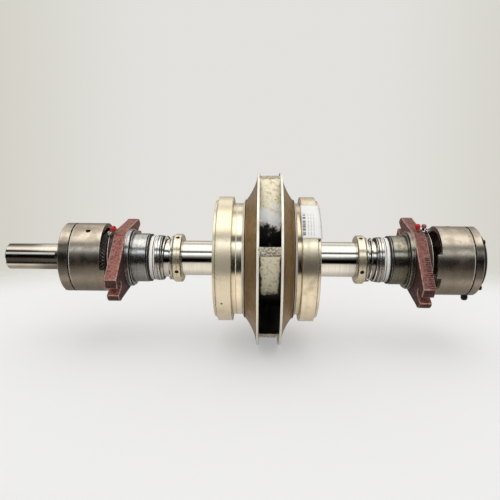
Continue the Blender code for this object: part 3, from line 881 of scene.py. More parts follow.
def point_index(tree):
    return tree.nodes.new("GeometryNodeInputIndex").outputs[0]


def point_place(tree):
    return tree.nodes.new("GeometryNodeInputPosition").outputs[0]


def around_axis(tree, shape, copies, start):
    """Instances of a shape at equal angles about the shaft's axis."""
    points = tree.nodes.new("GeometryNodeMeshLine")
    points.inputs["Offset"].default_value = (0, 0, 0)
    tree.links.new(copies, points.inputs["Count"])
    step = calc(tree, "DIVIDE", 2 * math.pi, copies)
    turn = calc(tree, "MULTIPLY_ADD", point_index(tree), step, start)
    copy = tree.nodes.new("GeometryNodeInstanceOnPoints")
    tree.links.new(points.outputs[0], copy.inputs["Points"])
    tree.links.new(shape, copy.inputs["Instance"])
    tree.links.new(add(tree, "ShaderNodeCombineXYZ", turn), copy.inputs["Rotation"])
    return copy.outputs[0]


def build_copies_tree():
    """Copies of a mesh at equal angles about the shaft."""
    tree, given, wanted = geometry_group("Copies around shaft", {"Copies": 4, "Start": 0.0})
    copies = around_axis(tree, given["Geometry"], given["Copies"], given["Start"])
    finish_tree(tree, copies, given["Material"], wanted[0])


def polar_place(tree, station, turn, radius):
    """A position from a station, an angle above the near side in radians, and a radius."""
    back = product(tree, calc(tree, "COSINE", turn), radius, -1.0)
    up = product(tree, calc(tree, "SINE", turn), radius)
    return add(tree, "ShaderNodeCombineXYZ", calc(tree, "ADD", station, MIDDLE), back, up)


def moved(tree, shape, label, value):
    """Sets the points' Position, or adds an Offset to it."""
    step = tree.nodes.new("GeometryNodeSetPosition")
    tree.links.new(shape, step.inputs["Geometry"])
    tree.links.new(value, step.inputs[label])
    return step.outputs[0]


def build_vane_tree():
    """One backward-curved vane that follows the shrouds and thins towards the eye, then its copies."""
    inputs = {"Vanes": 6, "Radius": 0.1525, "Root radius": INLET_RADIUS, "Half width": 0.017,
              "Tip angle": 15.0, "Vane angle": 25.0, "Tip thickness": 0.0054, "Root thickness": 0.004,
              "Roughness": 0.0003}
    tree, given, wanted = geometry_group("Vanes", inputs)
    block = tree.nodes.new("GeometryNodeMeshCube")
    block.inputs["Size"].default_value = (1, 1, 1)
    for label, count in VANE_POINTS.items():
        block.inputs[label].default_value = count
    inward, sideways, through = parts_of(tree, point_place(tree))
    amount = calc(tree, "ADD", inward, 0.5)
    reach = calc(tree, "SUBTRACT", given["Root radius"], given["Radius"])
    radius = calc(tree, "MULTIPLY_ADD", reach, amount, given["Radius"])
    depth = calc(tree, "DIVIDE", calc(tree, "SUBTRACT", given["Radius"], radius), PASSAGE_DEPTH)
    swell = calc(tree, "MULTIPLY", calc(tree, "POWER", depth, SWELL_POWER), PASSAGE_REACH)
    wall = calc(tree, "ADD", swell, given["Half width"])
    inlet = calc(tree, "MULTIPLY_ADD", calc(tree, "SUBTRACT", radius, INLET_RADIUS), INLET_SLOPE,
                 INLET_HALF)
    half = calc(tree, "ADD", calc(tree, "MINIMUM", wall, inlet), VANE_BITE)
    across = product(tree, sideways, 2.0, half)
    slant = calc(tree, "RADIANS", given["Vane angle"])
    ratio = calc(tree, "LOGARITHM", calc(tree, "DIVIDE", given["Radius"], radius), math.e)
    swept = calc(tree, "DIVIDE", ratio, calc(tree, "TANGENT", slant))
    middle = calc(tree, "SUBTRACT", calc(tree, "RADIANS", given["Tip angle"]), swept)
    thinning = calc(tree, "SUBTRACT", given["Root thickness"], given["Tip thickness"])
    thickness = calc(tree, "MULTIPLY_ADD", thinning, amount, given["Tip thickness"])
    around = calc(tree, "DIVIDE", thickness, product(tree, calc(tree, "SINE", slant), radius))
    turn = calc(tree, "MULTIPLY_ADD", through, around, middle)
    vane = moved(tree, block.outputs["Mesh"], "Position", polar_place(tree, across, turn, radius))
    grain = noise(tree, point_place(tree), VANE_SPOTS, 3.0)
    lift = calc(tree, "MULTIPLY", calc(tree, "SUBTRACT", grain, 0.5), given["Roughness"])
    outward = tree.nodes.new("GeometryNodeInputNormal").outputs[0]
    vane = moved(tree, vane, "Offset", vector_calc(tree, "SCALE", outward, scale=lift))
    copies = around_axis(tree, vane, given["Vanes"], 0.0)
    finish_tree(tree, copies, given["Material"], wanted[0])


def build_spring_tree():
    """A wire coil about the shaft."""
    inputs = {"Side": 1.0, "First coil": 0.173, "Pitch": 0.005, "First turn": -0.3, "Turns": 2.4,
              "Start": 5.0, "Coil radius": 0.038, "Wire radius": 0.0015}
    tree, given, wanted = geometry_group("Spring", inputs)
    points = tree.nodes.new("GeometryNodeMeshLine")
    points.inputs["Count"].default_value = SPRING_STEPS + 1
    amount = calc(tree, "DIVIDE", point_index(tree), float(SPRING_STEPS))
    turns = calc(tree, "MULTIPLY_ADD", amount, given["Turns"], given["First turn"])
    station = calc(tree, "MULTIPLY_ADD", turns, given["Pitch"], given["First coil"])
    turn = calc(tree, "MULTIPLY_ADD", turns, 2 * math.pi, calc(tree, "RADIANS", given["Start"]))
    sided = calc(tree, "MULTIPLY", station, given["Side"])
    place = polar_place(tree, sided, turn, given["Coil radius"])
    path = add(tree, "GeometryNodeMeshToCurve", moved(tree, points.outputs[0], "Position", place))
    section = tree.nodes.new("GeometryNodeCurvePrimitiveCircle")
    section.inputs["Resolution"].default_value = WIRE_SIDES
    tree.links.new(given["Wire radius"], section.inputs["Radius"])
    wire = tree.nodes.new("GeometryNodeCurveToMesh")
    tree.links.new(path, wire.inputs["Curve"])
    tree.links.new(section.outputs[0], wire.inputs["Profile Curve"])
    wire.inputs["Fill Caps"].default_value = True
    finish_tree(tree, wire.outputs[0], given["Material"], wanted[0])


def grow(item, tree_name, **values):
    """Runs a geometry tree on an object, with inputs set by their identifiers, and keeps the mesh."""
    step = item.modifiers.new("Tree", "NODES")
    step.node_group = bpy.data.node_groups[tree_name]
    for socket in step.node_group.interface.items_tree:
        key = socket.name.replace(" ", "_").lower()
        if socket.in_out == "INPUT" and key in values:
            step[socket.identifier] = values[key]
    settle(item)
    shade(item.data)
    return item


def empty_piece(name):
    item = bpy.data.objects.new(name, bpy.data.meshes.new(name))
    bpy.context.scene.collection.objects.link(item)
    return item


# Shaft and sleeves

COUPLING_STEP = 0.337
# Depth and radius
CENTRE_DRILL = (0.0055, 0.0034)
END_CHAMFER = 0.001
KEYWAY_END = 0.366
KEYWAY_ANGLE = -12
KEYWAY_STEPS = 12
KEYWAY_OVERRUN = 0.002
KEYWAY_RISE = 0.01


def build_shaft(sizes, colours):
    """The stepped shaft, with a centre drilling and an open keyway at the coupling end."""
    free, tip = stations_of("shaft")
    deep, wide = CENTRE_DRILL
    corners = [
        (-tip + deep, 0), (-tip, wide), (-tip, sizes.coupling - sizes.chamfer),
        (-tip + sizes.chamfer, sizes.coupling), (-COUPLING_STEP, sizes.coupling, 0),
        (-COUPLING_STEP, sizes.journal), (free - END_CHAMFER, sizes.journal),
        (free, sizes.journal - END_CHAMFER), (free, 0)]
    shaft = piece("turned_shaft", revolved(corners, on_shaft(), closed=False), shaft_steel(colours))
    half = sizes.key_width / 2
    floor = sizes.coupling - sizes.key_depth
    loop = [spot(-tip - KEYWAY_OVERRUN, KEYWAY_ANGLE, floor, half)]
    for index in range(KEYWAY_STEPS + 1):
        turn = math.pi * (0.5 - index / KEYWAY_STEPS)
        loop.append(spot(-KEYWAY_END - half + half * math.cos(turn), KEYWAY_ANGLE, floor,
                         half * math.sin(turn)))
    loop.append(spot(-tip - KEYWAY_OVERRUN, KEYWAY_ANGLE, floor, -half))
    cutter = piece("cutter", prism(loop, direction(KEYWAY_ANGLE)[0] * KEYWAY_RISE))
    combined(shaft, "DIFFERENCE", [cutter])
    dress(softened(shaft, FINE_BEVEL), "rotor", "shaft_steel", "shaft")


def build_sleeve(name, side, sizes, colours):
    """A polished sleeve between the impeller and the seal."""
    start, end = stations_of(f"sleeve_{name}")
    bore = sizes.journal + GAP
    corners = [(start, bore), (start, sizes.sleeve), (end - END_CHAMFER, sizes.sleeve),
               (end, sizes.sleeve - END_CHAMFER), (end, bore)]
    turned_piece(f"polished_sleeve_{name}", corners, on_shaft(side), [sleeve_steel(colours)],
                 "rotor", "shaft_steel", f"sleeve_{name}")


# Impeller: (station, radius) corners where the shroud meets its neck, and round the eye

FLARE_DEPTH = 0.0457
FLARE_REACH = 0.0181
FLARE_POWER = 1.8
FLARE_STEPS = 14
RIM_SHADE_STEPS = 3
PASSAGE_DEPTH = 0.055
PASSAGE_REACH = 0.024
SHOULDER_GROOVE = ((0.0400, 0.1064), (0.0405, 0.1050), (0.0413, 0.1046))
SHOULDER_EDGE = ((0.0418, 0.1058), (0.0426, 0.1056), (0.0436, 0.1030), (0.0448, 0.1004))
NECK_START = 0.0455
NECK_LINE = 0.0544
NECK_RIDGE = ((0.0004, 0.0004), (0.0009, 0.0004))
NECK_LINE_WIDTH = 0.0013
NECK_CHAMFER = 0.0008
NECK_END = 0.078
EYE_RADIUS = 0.092
# Depth and rise of the eye's chamfer
EYE_LIP = (0.0006, 0.0004)
EYE_STEP = 0.053
EYE_FILLET = 0.002
EYE_WALL = (0.0465, 0.0935)
RIB_RADIUS = 0.104
RIB_HALF = 0.002
RIB_POWER = 2.2
HUB_END = 0.082
HUB_STEPS = 24
HUB_BORE_INSET = 0.0057


def shroud_corners(sizes):
    """The shroud's section, with the index of its finish at each corner."""
    # edge is bare metal painted bright as highlight, on the rim, the shoulder and the neck's line
    cast, turned, rough, edge, dark = range(5)
    neck = sizes.neck
    corners = [(sizes.passage, sizes.radius, EDGE, edge)]
    for index in range(FLARE_STEPS + 1):
        amount = index / FLARE_STEPS
        station = sizes.rim + FLARE_REACH * amount ** FLARE_POWER
        fillet = EDGE if index in (0, FLARE_STEPS) else 0
        # dark is painted shade, on the first steps beside the rim and in the shoulder groove
        paint = dark if index < RIM_SHADE_STEPS else cast
        corners.append((station, sizes.radius - FLARE_DEPTH * amount, fillet, paint))
    corners += [(*corner, 0, dark) for corner in SHOULDER_GROOVE]
    corners += [(*corner, EDGE, edge) for corner in SHOULDER_EDGE]
    corners += [(NECK_START, neck, EDGE, turned), (NECK_LINE, neck, 0, edge)]
    corners += [(NECK_LINE + past, neck + lift, 0, edge) for past, lift in NECK_RIDGE]
    lip_depth, lip_rise = EYE_LIP
    corners += [
        (NECK_LINE + NECK_LINE_WIDTH, neck, 0, turned), (NECK_END - NECK_CHAMFER, neck, EDGE, turned),
        (NECK_END, neck - NECK_CHAMFER, EDGE, turned), (NECK_END, EYE_RADIUS + lip_rise, EDGE, turned),
        (NECK_END - lip_depth, EYE_RADIUS, EDGE, turned), (EYE_STEP, EYE_RADIUS, EYE_FILLET, rough),
        (*EYE_WALL, 0, rough)]
    for index in range(FLARE_STEPS, 0, -1):
        amount = index / FLARE_STEPS
        corners.append((sizes.passage + PASSAGE_REACH * amount ** SWELL_POWER,
                        sizes.radius - PASSAGE_DEPTH * amount, 0, rough))
    return corners


def hub_corners(sizes):
    """The hub's section, from end to end over the middle rib, with the index of its finish."""
    rough, turned = range(2)
    right = []
    for index in range(HUB_STEPS + 1):
        amount = index / HUB_STEPS
        station = RIB_HALF + (HUB_END - RIB_HALF) * amount ** 2
        radius = sizes.hub + (RIB_RADIUS - sizes.hub) * (1 - amount) ** RIB_POWER
        fillet = EDGE if index in (0, HUB_STEPS) else 0
        right.append((station, radius, fillet, turned if index == HUB_STEPS else rough))
    left = [(-station, radius, fillet, rough) for station, radius, fillet, _ in right[::-1]]
    bore = radius_of("sleeve_left") - HUB_BORE_INSET
    return left + right + [(HUB_END, bore, EDGE, turned), (-HUB_END, bore, EDGE, turned)]


def build_impeller(sizes, colours):
    """Hub, shrouds and vanes, as the solids have them."""
    rough = rough_bronze(colours)
    turned_piece("casting_hub", hub_corners(sizes), on_shaft(), [rough, ring_bronze(colours)],
                 "rotor", "bronze_casting", "impeller_hub")
    finishes = [cast_bronze(colours), neck_bronze(colours), rough, bare_edge_and_highlight(), shaded_casting(colours)]
    for name, side in SIDES.items():
        turned_piece(f"casting_shroud_{name}", shroud_corners(sizes), on_shaft(side), finishes,
                     "rotor", "bronze_casting", f"impeller_shroud_{name}", sides=WIDE_SIDES)
    vanes = grow(empty_piece("casting_vanes"), "Vanes", vanes=sizes.vanes, radius=sizes.radius,
                 half_width=sizes.passage, tip_thickness=sizes.vane_tip, root_thickness=sizes.vane_root,
                 material=rough)
    nodes = [f"impeller_vane_{index + 1}" for index in range(sizes.vanes)]
    dress(vanes, "rotor", "bronze_casting", *nodes)


# Wear rings and label

PIN_PLACES = {"left": (0.0783, -32.2), "right": (0.0793, 27.3)}
PIN_DEPTH = 0.004
HOLE_OVERRUN = 0.002
PIN_SIDES = 16
RING_CLEARANCE = 0.0006
RING_CHAMFER = 0.0005
LIP_CHAMFER = 0.0006
# The groove's end, the lip's start and the groove's depth, from the band's edge
LIP_GROOVE = (0.0012, 0.0015, 0.0010)
RING_BEVEL = 0.0002
LABEL_ANGLES = (28.3, 65.0)
LABEL_STATIONS = (0.0514, 0.0838)
LABEL_GRID = (30, 10)
LABEL_LEAN = 0.0018
LABEL_BEND = 0.0772
LABEL_FALL = 0.45
LABEL_LIFT = 0.0002
LABEL_THICKNESS = 0.00015
# Station, half width and strength of each bar, and the heights between which they run
LABEL_BARS = ((0.0556, 0.0028, 0.95), (0.0623, 0.0009, 0.5), (0.0668, 0.0009, 0.45), (0.0712, 0.0009, 0.4))
BAR_BOTTOM = (0.056, 0.057)
BAR_TOP = (0.087, 0.090)
BAR_EDGE = 0.7
BAR_BREAKS = 420.0
BREAK_LIMITS = (0.38, 0.5)
PAPER_SPOTS = 90.0
AGE_STRENGTHS = (0.3, 0.7, 0.0, 0.25)
PAPER_ROUGHNESS = 0.45
PAPER = (0.84, 0.84, 0.85)
AGED_PAPER = (0.70, 0.68, 0.64)
INK = (0.12, 0.12, 0.13)


def label_paper():
    """White paper with plain grey bars that run round the ring."""
    material, tree = new_material("Label paper")
    shader = tree.nodes["Principled BSDF"]
    place, along, _, height = object_place(tree)
    inked = 0.0
    for station, half, strength in LABEL_BARS:
        away = calc(tree, "ABSOLUTE", calc(tree, "SUBTRACT", along, MIDDLE + station))
        bar = calc(tree, "MULTIPLY", ease(tree, away, half * BAR_EDGE, half, 1.0, 0.0), strength)
        inked = calc(tree, "MAXIMUM", inked, bar)
    inside = product(tree, ease(tree, height, *BAR_BOTTOM), ease(tree, height, *BAR_TOP, 1.0, 0.0))
    broken = ease(tree, line_noise(tree, height, BAR_BREAKS), *BREAK_LIMITS)
    aged = ease(tree, noise(tree, place, PAPER_SPOTS), *AGE_STRENGTHS)
    tone = blend(tree, product(tree, inked, inside, broken), blend(tree, aged, PAPER, AGED_PAPER), INK)
    connect(tree, tone, shader.inputs["Base Color"])
    shader.inputs["Roughness"].default_value = PAPER_ROUGHNESS
    return material


def build_label(sizes):
    """A small paper label that bends over the band and down to the lip."""
    rows, columns = LABEL_GRID
    shape = bmesh.new()
    grid = []
    for row in range(rows + 1):
        angle = LABEL_ANGLES[0] + (LABEL_ANGLES[1] - LABEL_ANGLES[0]) * row / rows
        line = []
        for column in range(columns + 1):
            station = LABEL_STATIONS[0] + (LABEL_STATIONS[1] - LABEL_STATIONS[0]) * column / columns
            station -= LABEL_LEAN * (row / rows - 0.5)
            past = max(0.0, station - LABEL_BEND)
            radius = sizes.radius + LABEL_LIFT - LABEL_FALL * past
            line.append(shape.verts.new(spot(station, angle, radius)))
        grid.append(line)
    for near, far in zip(grid, grid[1:]):
        for column in range(columns):
            shape.faces.new((near[column], near[column + 1], far[column + 1], far[column]))
    label = piece("ring_label", shape, label_paper())
    wall = label.modifiers.new("Paper", "SOLIDIFY")
    wall.thickness = LABEL_THICKNESS
    wall.offset = 0
    settle(label)
    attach(label, "root")


def build_wear_ring(name, side, sizes, neck, colours):
    """A wide band with a narrower lip outboard, and a small hole for its pin."""
    start, end = stations_of(f"wear_ring_{name}")
    edge = start + sizes.band
    groove_end, lip_start, groove_depth = LIP_GROOVE
    bore = neck + RING_CLEARANCE
    corners = [
        (start, bore), (start, sizes.radius - SOFT_EDGE), (start + SOFT_EDGE, sizes.radius),
        (edge - RING_CHAMFER, sizes.radius), (edge, sizes.radius - RING_CHAMFER),
        (edge, sizes.lip - groove_depth), (edge + groove_end, sizes.lip - groove_depth),
        (edge + lip_start, sizes.lip), (end - LIP_CHAMFER, sizes.lip), (end, sizes.lip - LIP_CHAMFER),
        (end, bore)]
    finish = dull_bronze(colours) if name == "left" else ring_bronze(colours)
    ring = piece(f"turned_ring_{name}", revolved(corners, on_shaft(side), sides=WIDE_SIDES), finish)
    station, angle = PIN_PLACES[name]
    combined(ring, "DIFFERENCE", [peg(side * station, angle, sizes.lip - PIN_DEPTH,
                                      sizes.radius + HOLE_OVERRUN, sizes.pin_hole, PIN_SIDES)])
    dress(softened(ring, RING_BEVEL), "root", "bronze_turned", f"wear_ring_{name}")


# Collars and seals

COLLAR_ANGLES = {"left": -24, "right": -20}
COLLAR_HOLES = 4
COLLAR_HOLE = 0.0035
COLLAR_HOLE_DEPTH = 0.008
COLLAR_CHAMFER = 0.002
# Half width and depth of the line round the collar
COLLAR_LINE = (0.0006, 0.0002)
SCREW_CLEARANCE = 0.0002
SCREW_DEPTH = 0.0035
SCREW_LENGTH = 0.0035
# Radius at the top, radius at the bottom, and depth
SCREW_SOCKET = (0.0016, 0.0014, 0.002)
# Width of black on the washer's rim beside its inboard face: painted shadow by the collar
WASHER_SHADOW = 0.0011
SPRING_FIT = {
    "left": {"first_coil": 0.1854, "pitch": -0.0132, "first_turn": -0.25, "turns": 1.10, "start": 10.75},
    "right": {"first_coil": 0.1778, "pitch": 0.0094, "first_turn": -0.35, "turns": 1.50, "start": 10.75},
}
HEAD_TAIL = 0.0342
HEAD_RIM = 0.1902
HEAD_GROOVE = (0.1937, 0.1951)
HEAD_GROOVE_RADIUS = 0.0385
SEAL_CHAMFER = 0.0008
FACE_CHAMFER = 0.0006
DRIVE_BAND = (0.1872, 0.1899)
DRIVE_BAND_RADII = (0.0345, 0.0396)
DRIVE_BAND_LINE = (0.1882, 0.1891)
DRIVE_BAND_FILLETS = (0.0008, 0.0006)
SEAT_GROOVE = (0.0022, 0.0031)
SEAT_GROOVE_DEPTH = 0.0008
SEAT_BACK = 0.2085
SEAT_BORE = 0.033
SEAT_STEM = 0.036
CUP_BORE = 0.0363
CUP_SHOULDER = 0.2106
CUP_STEP = 0.0002
# Station, depth below the cup's radius, and finish: a line of satin steel between two grooves, a painted
# highlight on the black rubber
CUP_GROOVES = ((0.2108, 0.0014, 0), (0.2111, CUP_STEP, 1), (0.2121, CUP_STEP, 1), (0.2123, 0.0014, 0),
               (0.2127, CUP_STEP, 0))
BEAD_FILLET = 0.0007
BEAD_HALF_GAP = 0.0002
BEAD_DEPTH = 0.0014


def build_collar(name, side, sizes, bore, colours):
    """A collar with spanner holes and a set screw deep in each."""
    start, end = stations_of(f"collar_{name}")
    radius = sizes.collar
    middle = (start + end) / 2
    half_line, line_depth = COLLAR_LINE
    corners = [(start, bore), (start, radius - COLLAR_CHAMFER), (start + COLLAR_CHAMFER, radius),
               (middle - half_line, radius), (middle, radius - line_depth), (middle + half_line, radius),
               (end - COLLAR_CHAMFER, radius), (end, radius - COLLAR_CHAMFER), (end, bore)]
    collar = piece(f"drive_collar_{name}", revolved(corners, on_shaft(side)), ring_bronze(colours))
    angles = [COLLAR_ANGLES[name] + 360 / COLLAR_HOLES * index for index in range(COLLAR_HOLES)]
    combined(collar, "DIFFERENCE", [
        peg(side * middle, angle, radius - COLLAR_HOLE_DEPTH, radius + HOLE_OVERRUN, COLLAR_HOLE,
            SMALL_SIDES) for angle in angles])
    dress(softened(collar, FINE_BEVEL), "rotor", "bronze_turned", f"collar_{name}")
    top = radius - SCREW_DEPTH
    inner = top - SCREW_LENGTH
    screw_radius = COLLAR_HOLE - SCREW_CLEARANCE
    wide, narrow, deep = SCREW_SOCKET
    corners = [(inner, 0), (inner, screw_radius), (top, screw_radius), (top, wide), (top - deep, narrow),
               (top - deep, 0)]
    place = standing(side * middle, angles[0])
    screws = piece(f"set_screws_{name}", revolved(corners, place, closed=False, sides=SMALL_SIDES))
    grow(screws, "Copies around shaft", copies=COLLAR_HOLES, material=black_steel())
    dress(screws, "rotor", "seal_steel")


def build_turning_seal(name, side, sizes, bore, colours):
    """The half that turns: washer, spring, head and the rubber band behind the head."""
    bright, black, place = ring_steel(), rubber(colours), on_shaft(side)
    start, end = stations_of(f"seal_washer_{name}")
    corners = [(start, bore, EDGE, 1), (start, sizes.seat, EDGE, 1), (start + WASHER_SHADOW, sizes.seat, 0),
               (end - SEAL_CHAMFER, sizes.seat), (end, sizes.seat - SEAL_CHAMFER), (end, bore)]
    turned_piece(f"spring_washer_{name}", corners, place, [bright, black], "rotor", "seal_steel",
                 f"seal_washer_{name}")
    spring = grow(empty_piece(f"coil_spring_{name}"), "Spring", side=float(side), coil_radius=sizes.coil,
                  wire_radius=sizes.wire, material=spring_wire(), **SPRING_FIT[name])
    dress(spring, "rotor", "seal_steel", f"seal_spring_{name}")
    tail, face = stations_of(f"seal_head_{name}")
    groove_start, groove_end = HEAD_GROOVE
    corners = [(tail, bore, EDGE, 1), (tail, HEAD_TAIL, EDGE, 1), (HEAD_RIM, HEAD_TAIL),
               (HEAD_RIM, sizes.head - SEAL_CHAMFER), (HEAD_RIM + SEAL_CHAMFER, sizes.head),
               (groove_start, sizes.head), (groove_start, HEAD_GROOVE_RADIUS),
               (groove_end, HEAD_GROOVE_RADIUS), (groove_end, sizes.head),
               (face - FACE_CHAMFER, sizes.head), (face, sizes.head - FACE_CHAMFER), (face, bore)]
    turned_piece(f"turning_head_{name}", corners, place, [bright, sleeve_steel(colours)], "rotor",
                 "seal_steel", f"seal_head_{name}")
    (start, end), (inner, outer) = DRIVE_BAND, DRIVE_BAND_RADII
    first_fillet, last_fillet = DRIVE_BAND_FILLETS
    line_start, line_end = DRIVE_BAND_LINE
    corners = [(start, inner), (start, outer, first_fillet), (line_start, outer, 0, 1),
               (line_end, outer, 0), (end, outer, last_fillet), (end, inner)]
    turned_piece(f"drive_band_{name}", corners, place, [black, bright], "rotor", "black_rubber")


def build_still_seal(name, side, sizes, nose, colours):
    """The half that stands still: ceramic seat, rubber cup and the ring on the gland's nose."""
    black, place = rubber(colours), on_shaft(side)
    start, end = stations_of(f"seal_seat_{name}")
    near, far = (start + offset for offset in SEAT_GROOVE)
    low = sizes.seat - SEAT_GROOVE_DEPTH
    corners = [(start, SEAT_BORE), (start, sizes.seat, SOFT_EDGE), (near, sizes.seat, EDGE, 1),
               (near, low, EDGE, 1), (far, low, EDGE, 1), (far, sizes.seat),
               (SEAT_BACK, sizes.seat, SOFT_EDGE), (SEAT_BACK, SEAT_STEM), (end, SEAT_STEM),
               (end, SEAT_BORE)]
    turned_piece(f"ceramic_seat_{name}", corners, place, [ceramic(colours), black], "root", "ceramic",
                 f"seal_seat_{name}")
    front, rear = stations_of(f"seal_cup_{name}")
    outer = radius_of(f"seal_cup_{name}")
    corners = [(front, CUP_BORE), (front, outer, SOFT_EDGE), (CUP_SHOULDER, outer, SOFT_EDGE)]
    corners += [(station, outer - depth, EDGE, paint) for station, depth, paint in CUP_GROOVES]
    corners += [(rear, outer - CUP_STEP), (rear, SEAT_BORE), (end + GAP, SEAT_BORE), (end + GAP, CUP_BORE)]
    turned_piece(f"rubber_cup_{name}", corners, place, [black, satin_steel(colours)], "root",
                 "black_rubber", f"seal_cup_{name}")
    low, high = stations_of(f"gland_seal_ring_{name}")
    middle = (low + high) / 2
    outer = radius_of(f"gland_seal_ring_{name}")
    corners = [(low, nose + GAP, EDGE, 1), (low, outer, BEAD_FILLET, 1),
               (middle - BEAD_HALF_GAP, outer, BEAD_FILLET), (middle, outer - BEAD_DEPTH),
               (middle + BEAD_HALF_GAP, outer, BEAD_FILLET), (high, outer, BEAD_FILLET),
               (high, nose + GAP)]
    turned_piece(f"nose_ring_{name}", corners, place, [black, nose_steel(colours, name)], "root",
                 "black_rubber", f"gland_seal_ring_{name}")


# Glands

GLAND_ANGLES = {"left": -24.5, "right": -30.5}
GLAND_BORE = 0.0335
GLAND_CHAMFER = 0.001
REGISTER_FACE = 0.2415
# Stations from the register's face: the groove's edges and floor
REGISTER_GROOVE = (0.0042, 0.0046, 0.0056, 0.0060)
REGISTER_GROOVE_DEPTH = 0.0008
BOSS_STEP = 0.003
# Where the bare line on the boss, a painted highlight, starts and ends, from the back
BOSS_LINE = (0.0009, 0.0003)
FLANGE_FACES = (0.2493, 0.2700)
FLANGE_HUB = 0.053
FLANGE_BORE_INSET = 0.003
FLANGE_BORE_OVERRUN = 0.01
LOBE_CORNER = 0.0158
CREASE = 0.0015
CORNER_STEPS = 8
WAIST_STEPS = 18
SLOT_STEPS = 12
SLOT_CENTRE = 0.083
FACING = 0.9
GROOVES = 17
GROOVE_STEP = 0.0036
GROOVE_HALF = 0.0008
GROOVE_DEPTH = 0.0010
GROOVE_OVERRUN = 0.002
GROOVE_SECTION = ((-GROOVE_HALF, GROOVE_OVERRUN), (GROOVE_HALF, GROOVE_OVERRUN),
                  (GROOVE_HALF, -GROOVE_DEPTH), (-GROOVE_HALF, -GROOVE_DEPTH))
PRIMED, BARE, WORN, IN_SHADOW, BARE_EDGE_HIGHLIGHT, SHADED_BELOW = range(6)


def flange_outline(sizes):
    """One half of the two-lobed flange, as (across, along) points, from slot to slot. Its first corner is
    nearly square and its second is round."""
    shoulder = sizes.reach - LOBE_CORNER
    tangent = math.atan2(shoulder, sizes.half_width)
    tangent -= math.acos(FLANGE_HUB / math.hypot(shoulder, sizes.half_width))
    half = [(sizes.slot, sizes.reach), (sizes.half_width - CREASE, sizes.reach),
            (sizes.half_width, sizes.reach - CREASE)]
    for index in range(WAIST_STEPS + 1):
        angle = tangent - 2 * tangent * index / WAIST_STEPS
        half.append((FLANGE_HUB * math.cos(angle), FLANGE_HUB * math.sin(angle)))
    for index in range(CORNER_STEPS, -1, -1):
        turn = math.pi / 2 * (1 - index / CORNER_STEPS)
        half.append((sizes.half_width - LOBE_CORNER * (1 - math.cos(turn)),
                     -(shoulder + LOBE_CORNER * math.sin(turn))))
    half.append((sizes.slot, -sizes.reach))
    for index in range(SLOT_STEPS + 1):
        angle = math.pi * index / SLOT_STEPS
        half.append((sizes.slot * math.cos(angle), sizes.slot * math.sin(angle) - SLOT_CENTRE))
    return half


def stepped(path, step, count):
    """Points at equal steps along a line of (across, along) points, with the way on from each."""
    places, wanted, done = [], 0.0, 0.0
    for here, following in zip(path, path[1:]):
        here, way = Vector(here), Vector(following) - Vector(here)
        while wanted < done + way.length and len(places) < count:
            places.append((here + way.normalized() * (wanted - done), way.normalized()))
            wanted += step
        done += way.length
    return places


def edge_grooves(side, angle, half):
    """Cutters for the short grooves across the outboard half of one lobe's edge, from its near corner
    round the waist."""
    inner, outer = FLANGE_FACES
    start = side * (inner + outer) / 2
    push = Vector((side * ((outer - inner) / 2 + GROOVE_OVERRUN), 0, 0))
    shape = bmesh.new()
    for place, way in stepped(half[2:WAIST_STEPS + 3], GROOVE_STEP, GROOVES):
        out = Vector((way.y, -way.x))
        out = out if out.dot(place) > 0 else -out
        corners = [place + way * onward + out * outward for onward, outward in GROOVE_SECTION]
        prism([spot(start, angle, along, across) for across, along in corners], push, shape)
    # The grooves' faces are painted in shade
    for face in shape.faces:
        face.material_index = IN_SHADOW
    return piece("cutter", shape)


def flange_plate(side, angle, half, finishes):
    """The flange with worn edges. Its face towards the pump and the near lobe's end take the primer with
    painted shade below the axis.
    """
    inner, outer = FLANGE_FACES
    outline = half + [(-across, -along) for across, along in half]
    loop = [spot(side * inner, angle, along, across) for across, along in outline]
    plate = piece("plate", prism(loop, Vector((side * (outer - inner), 0, 0))), *finishes)
    towards = direction(angle)[0]
    for face in plate.data.polygons:
        if face.normal.x * side < -FACING or face.normal.dot(towards) > FACING:
            face.material_index = SHADED_BELOW
    return softened(plate, CAST_BEVEL, WORN)


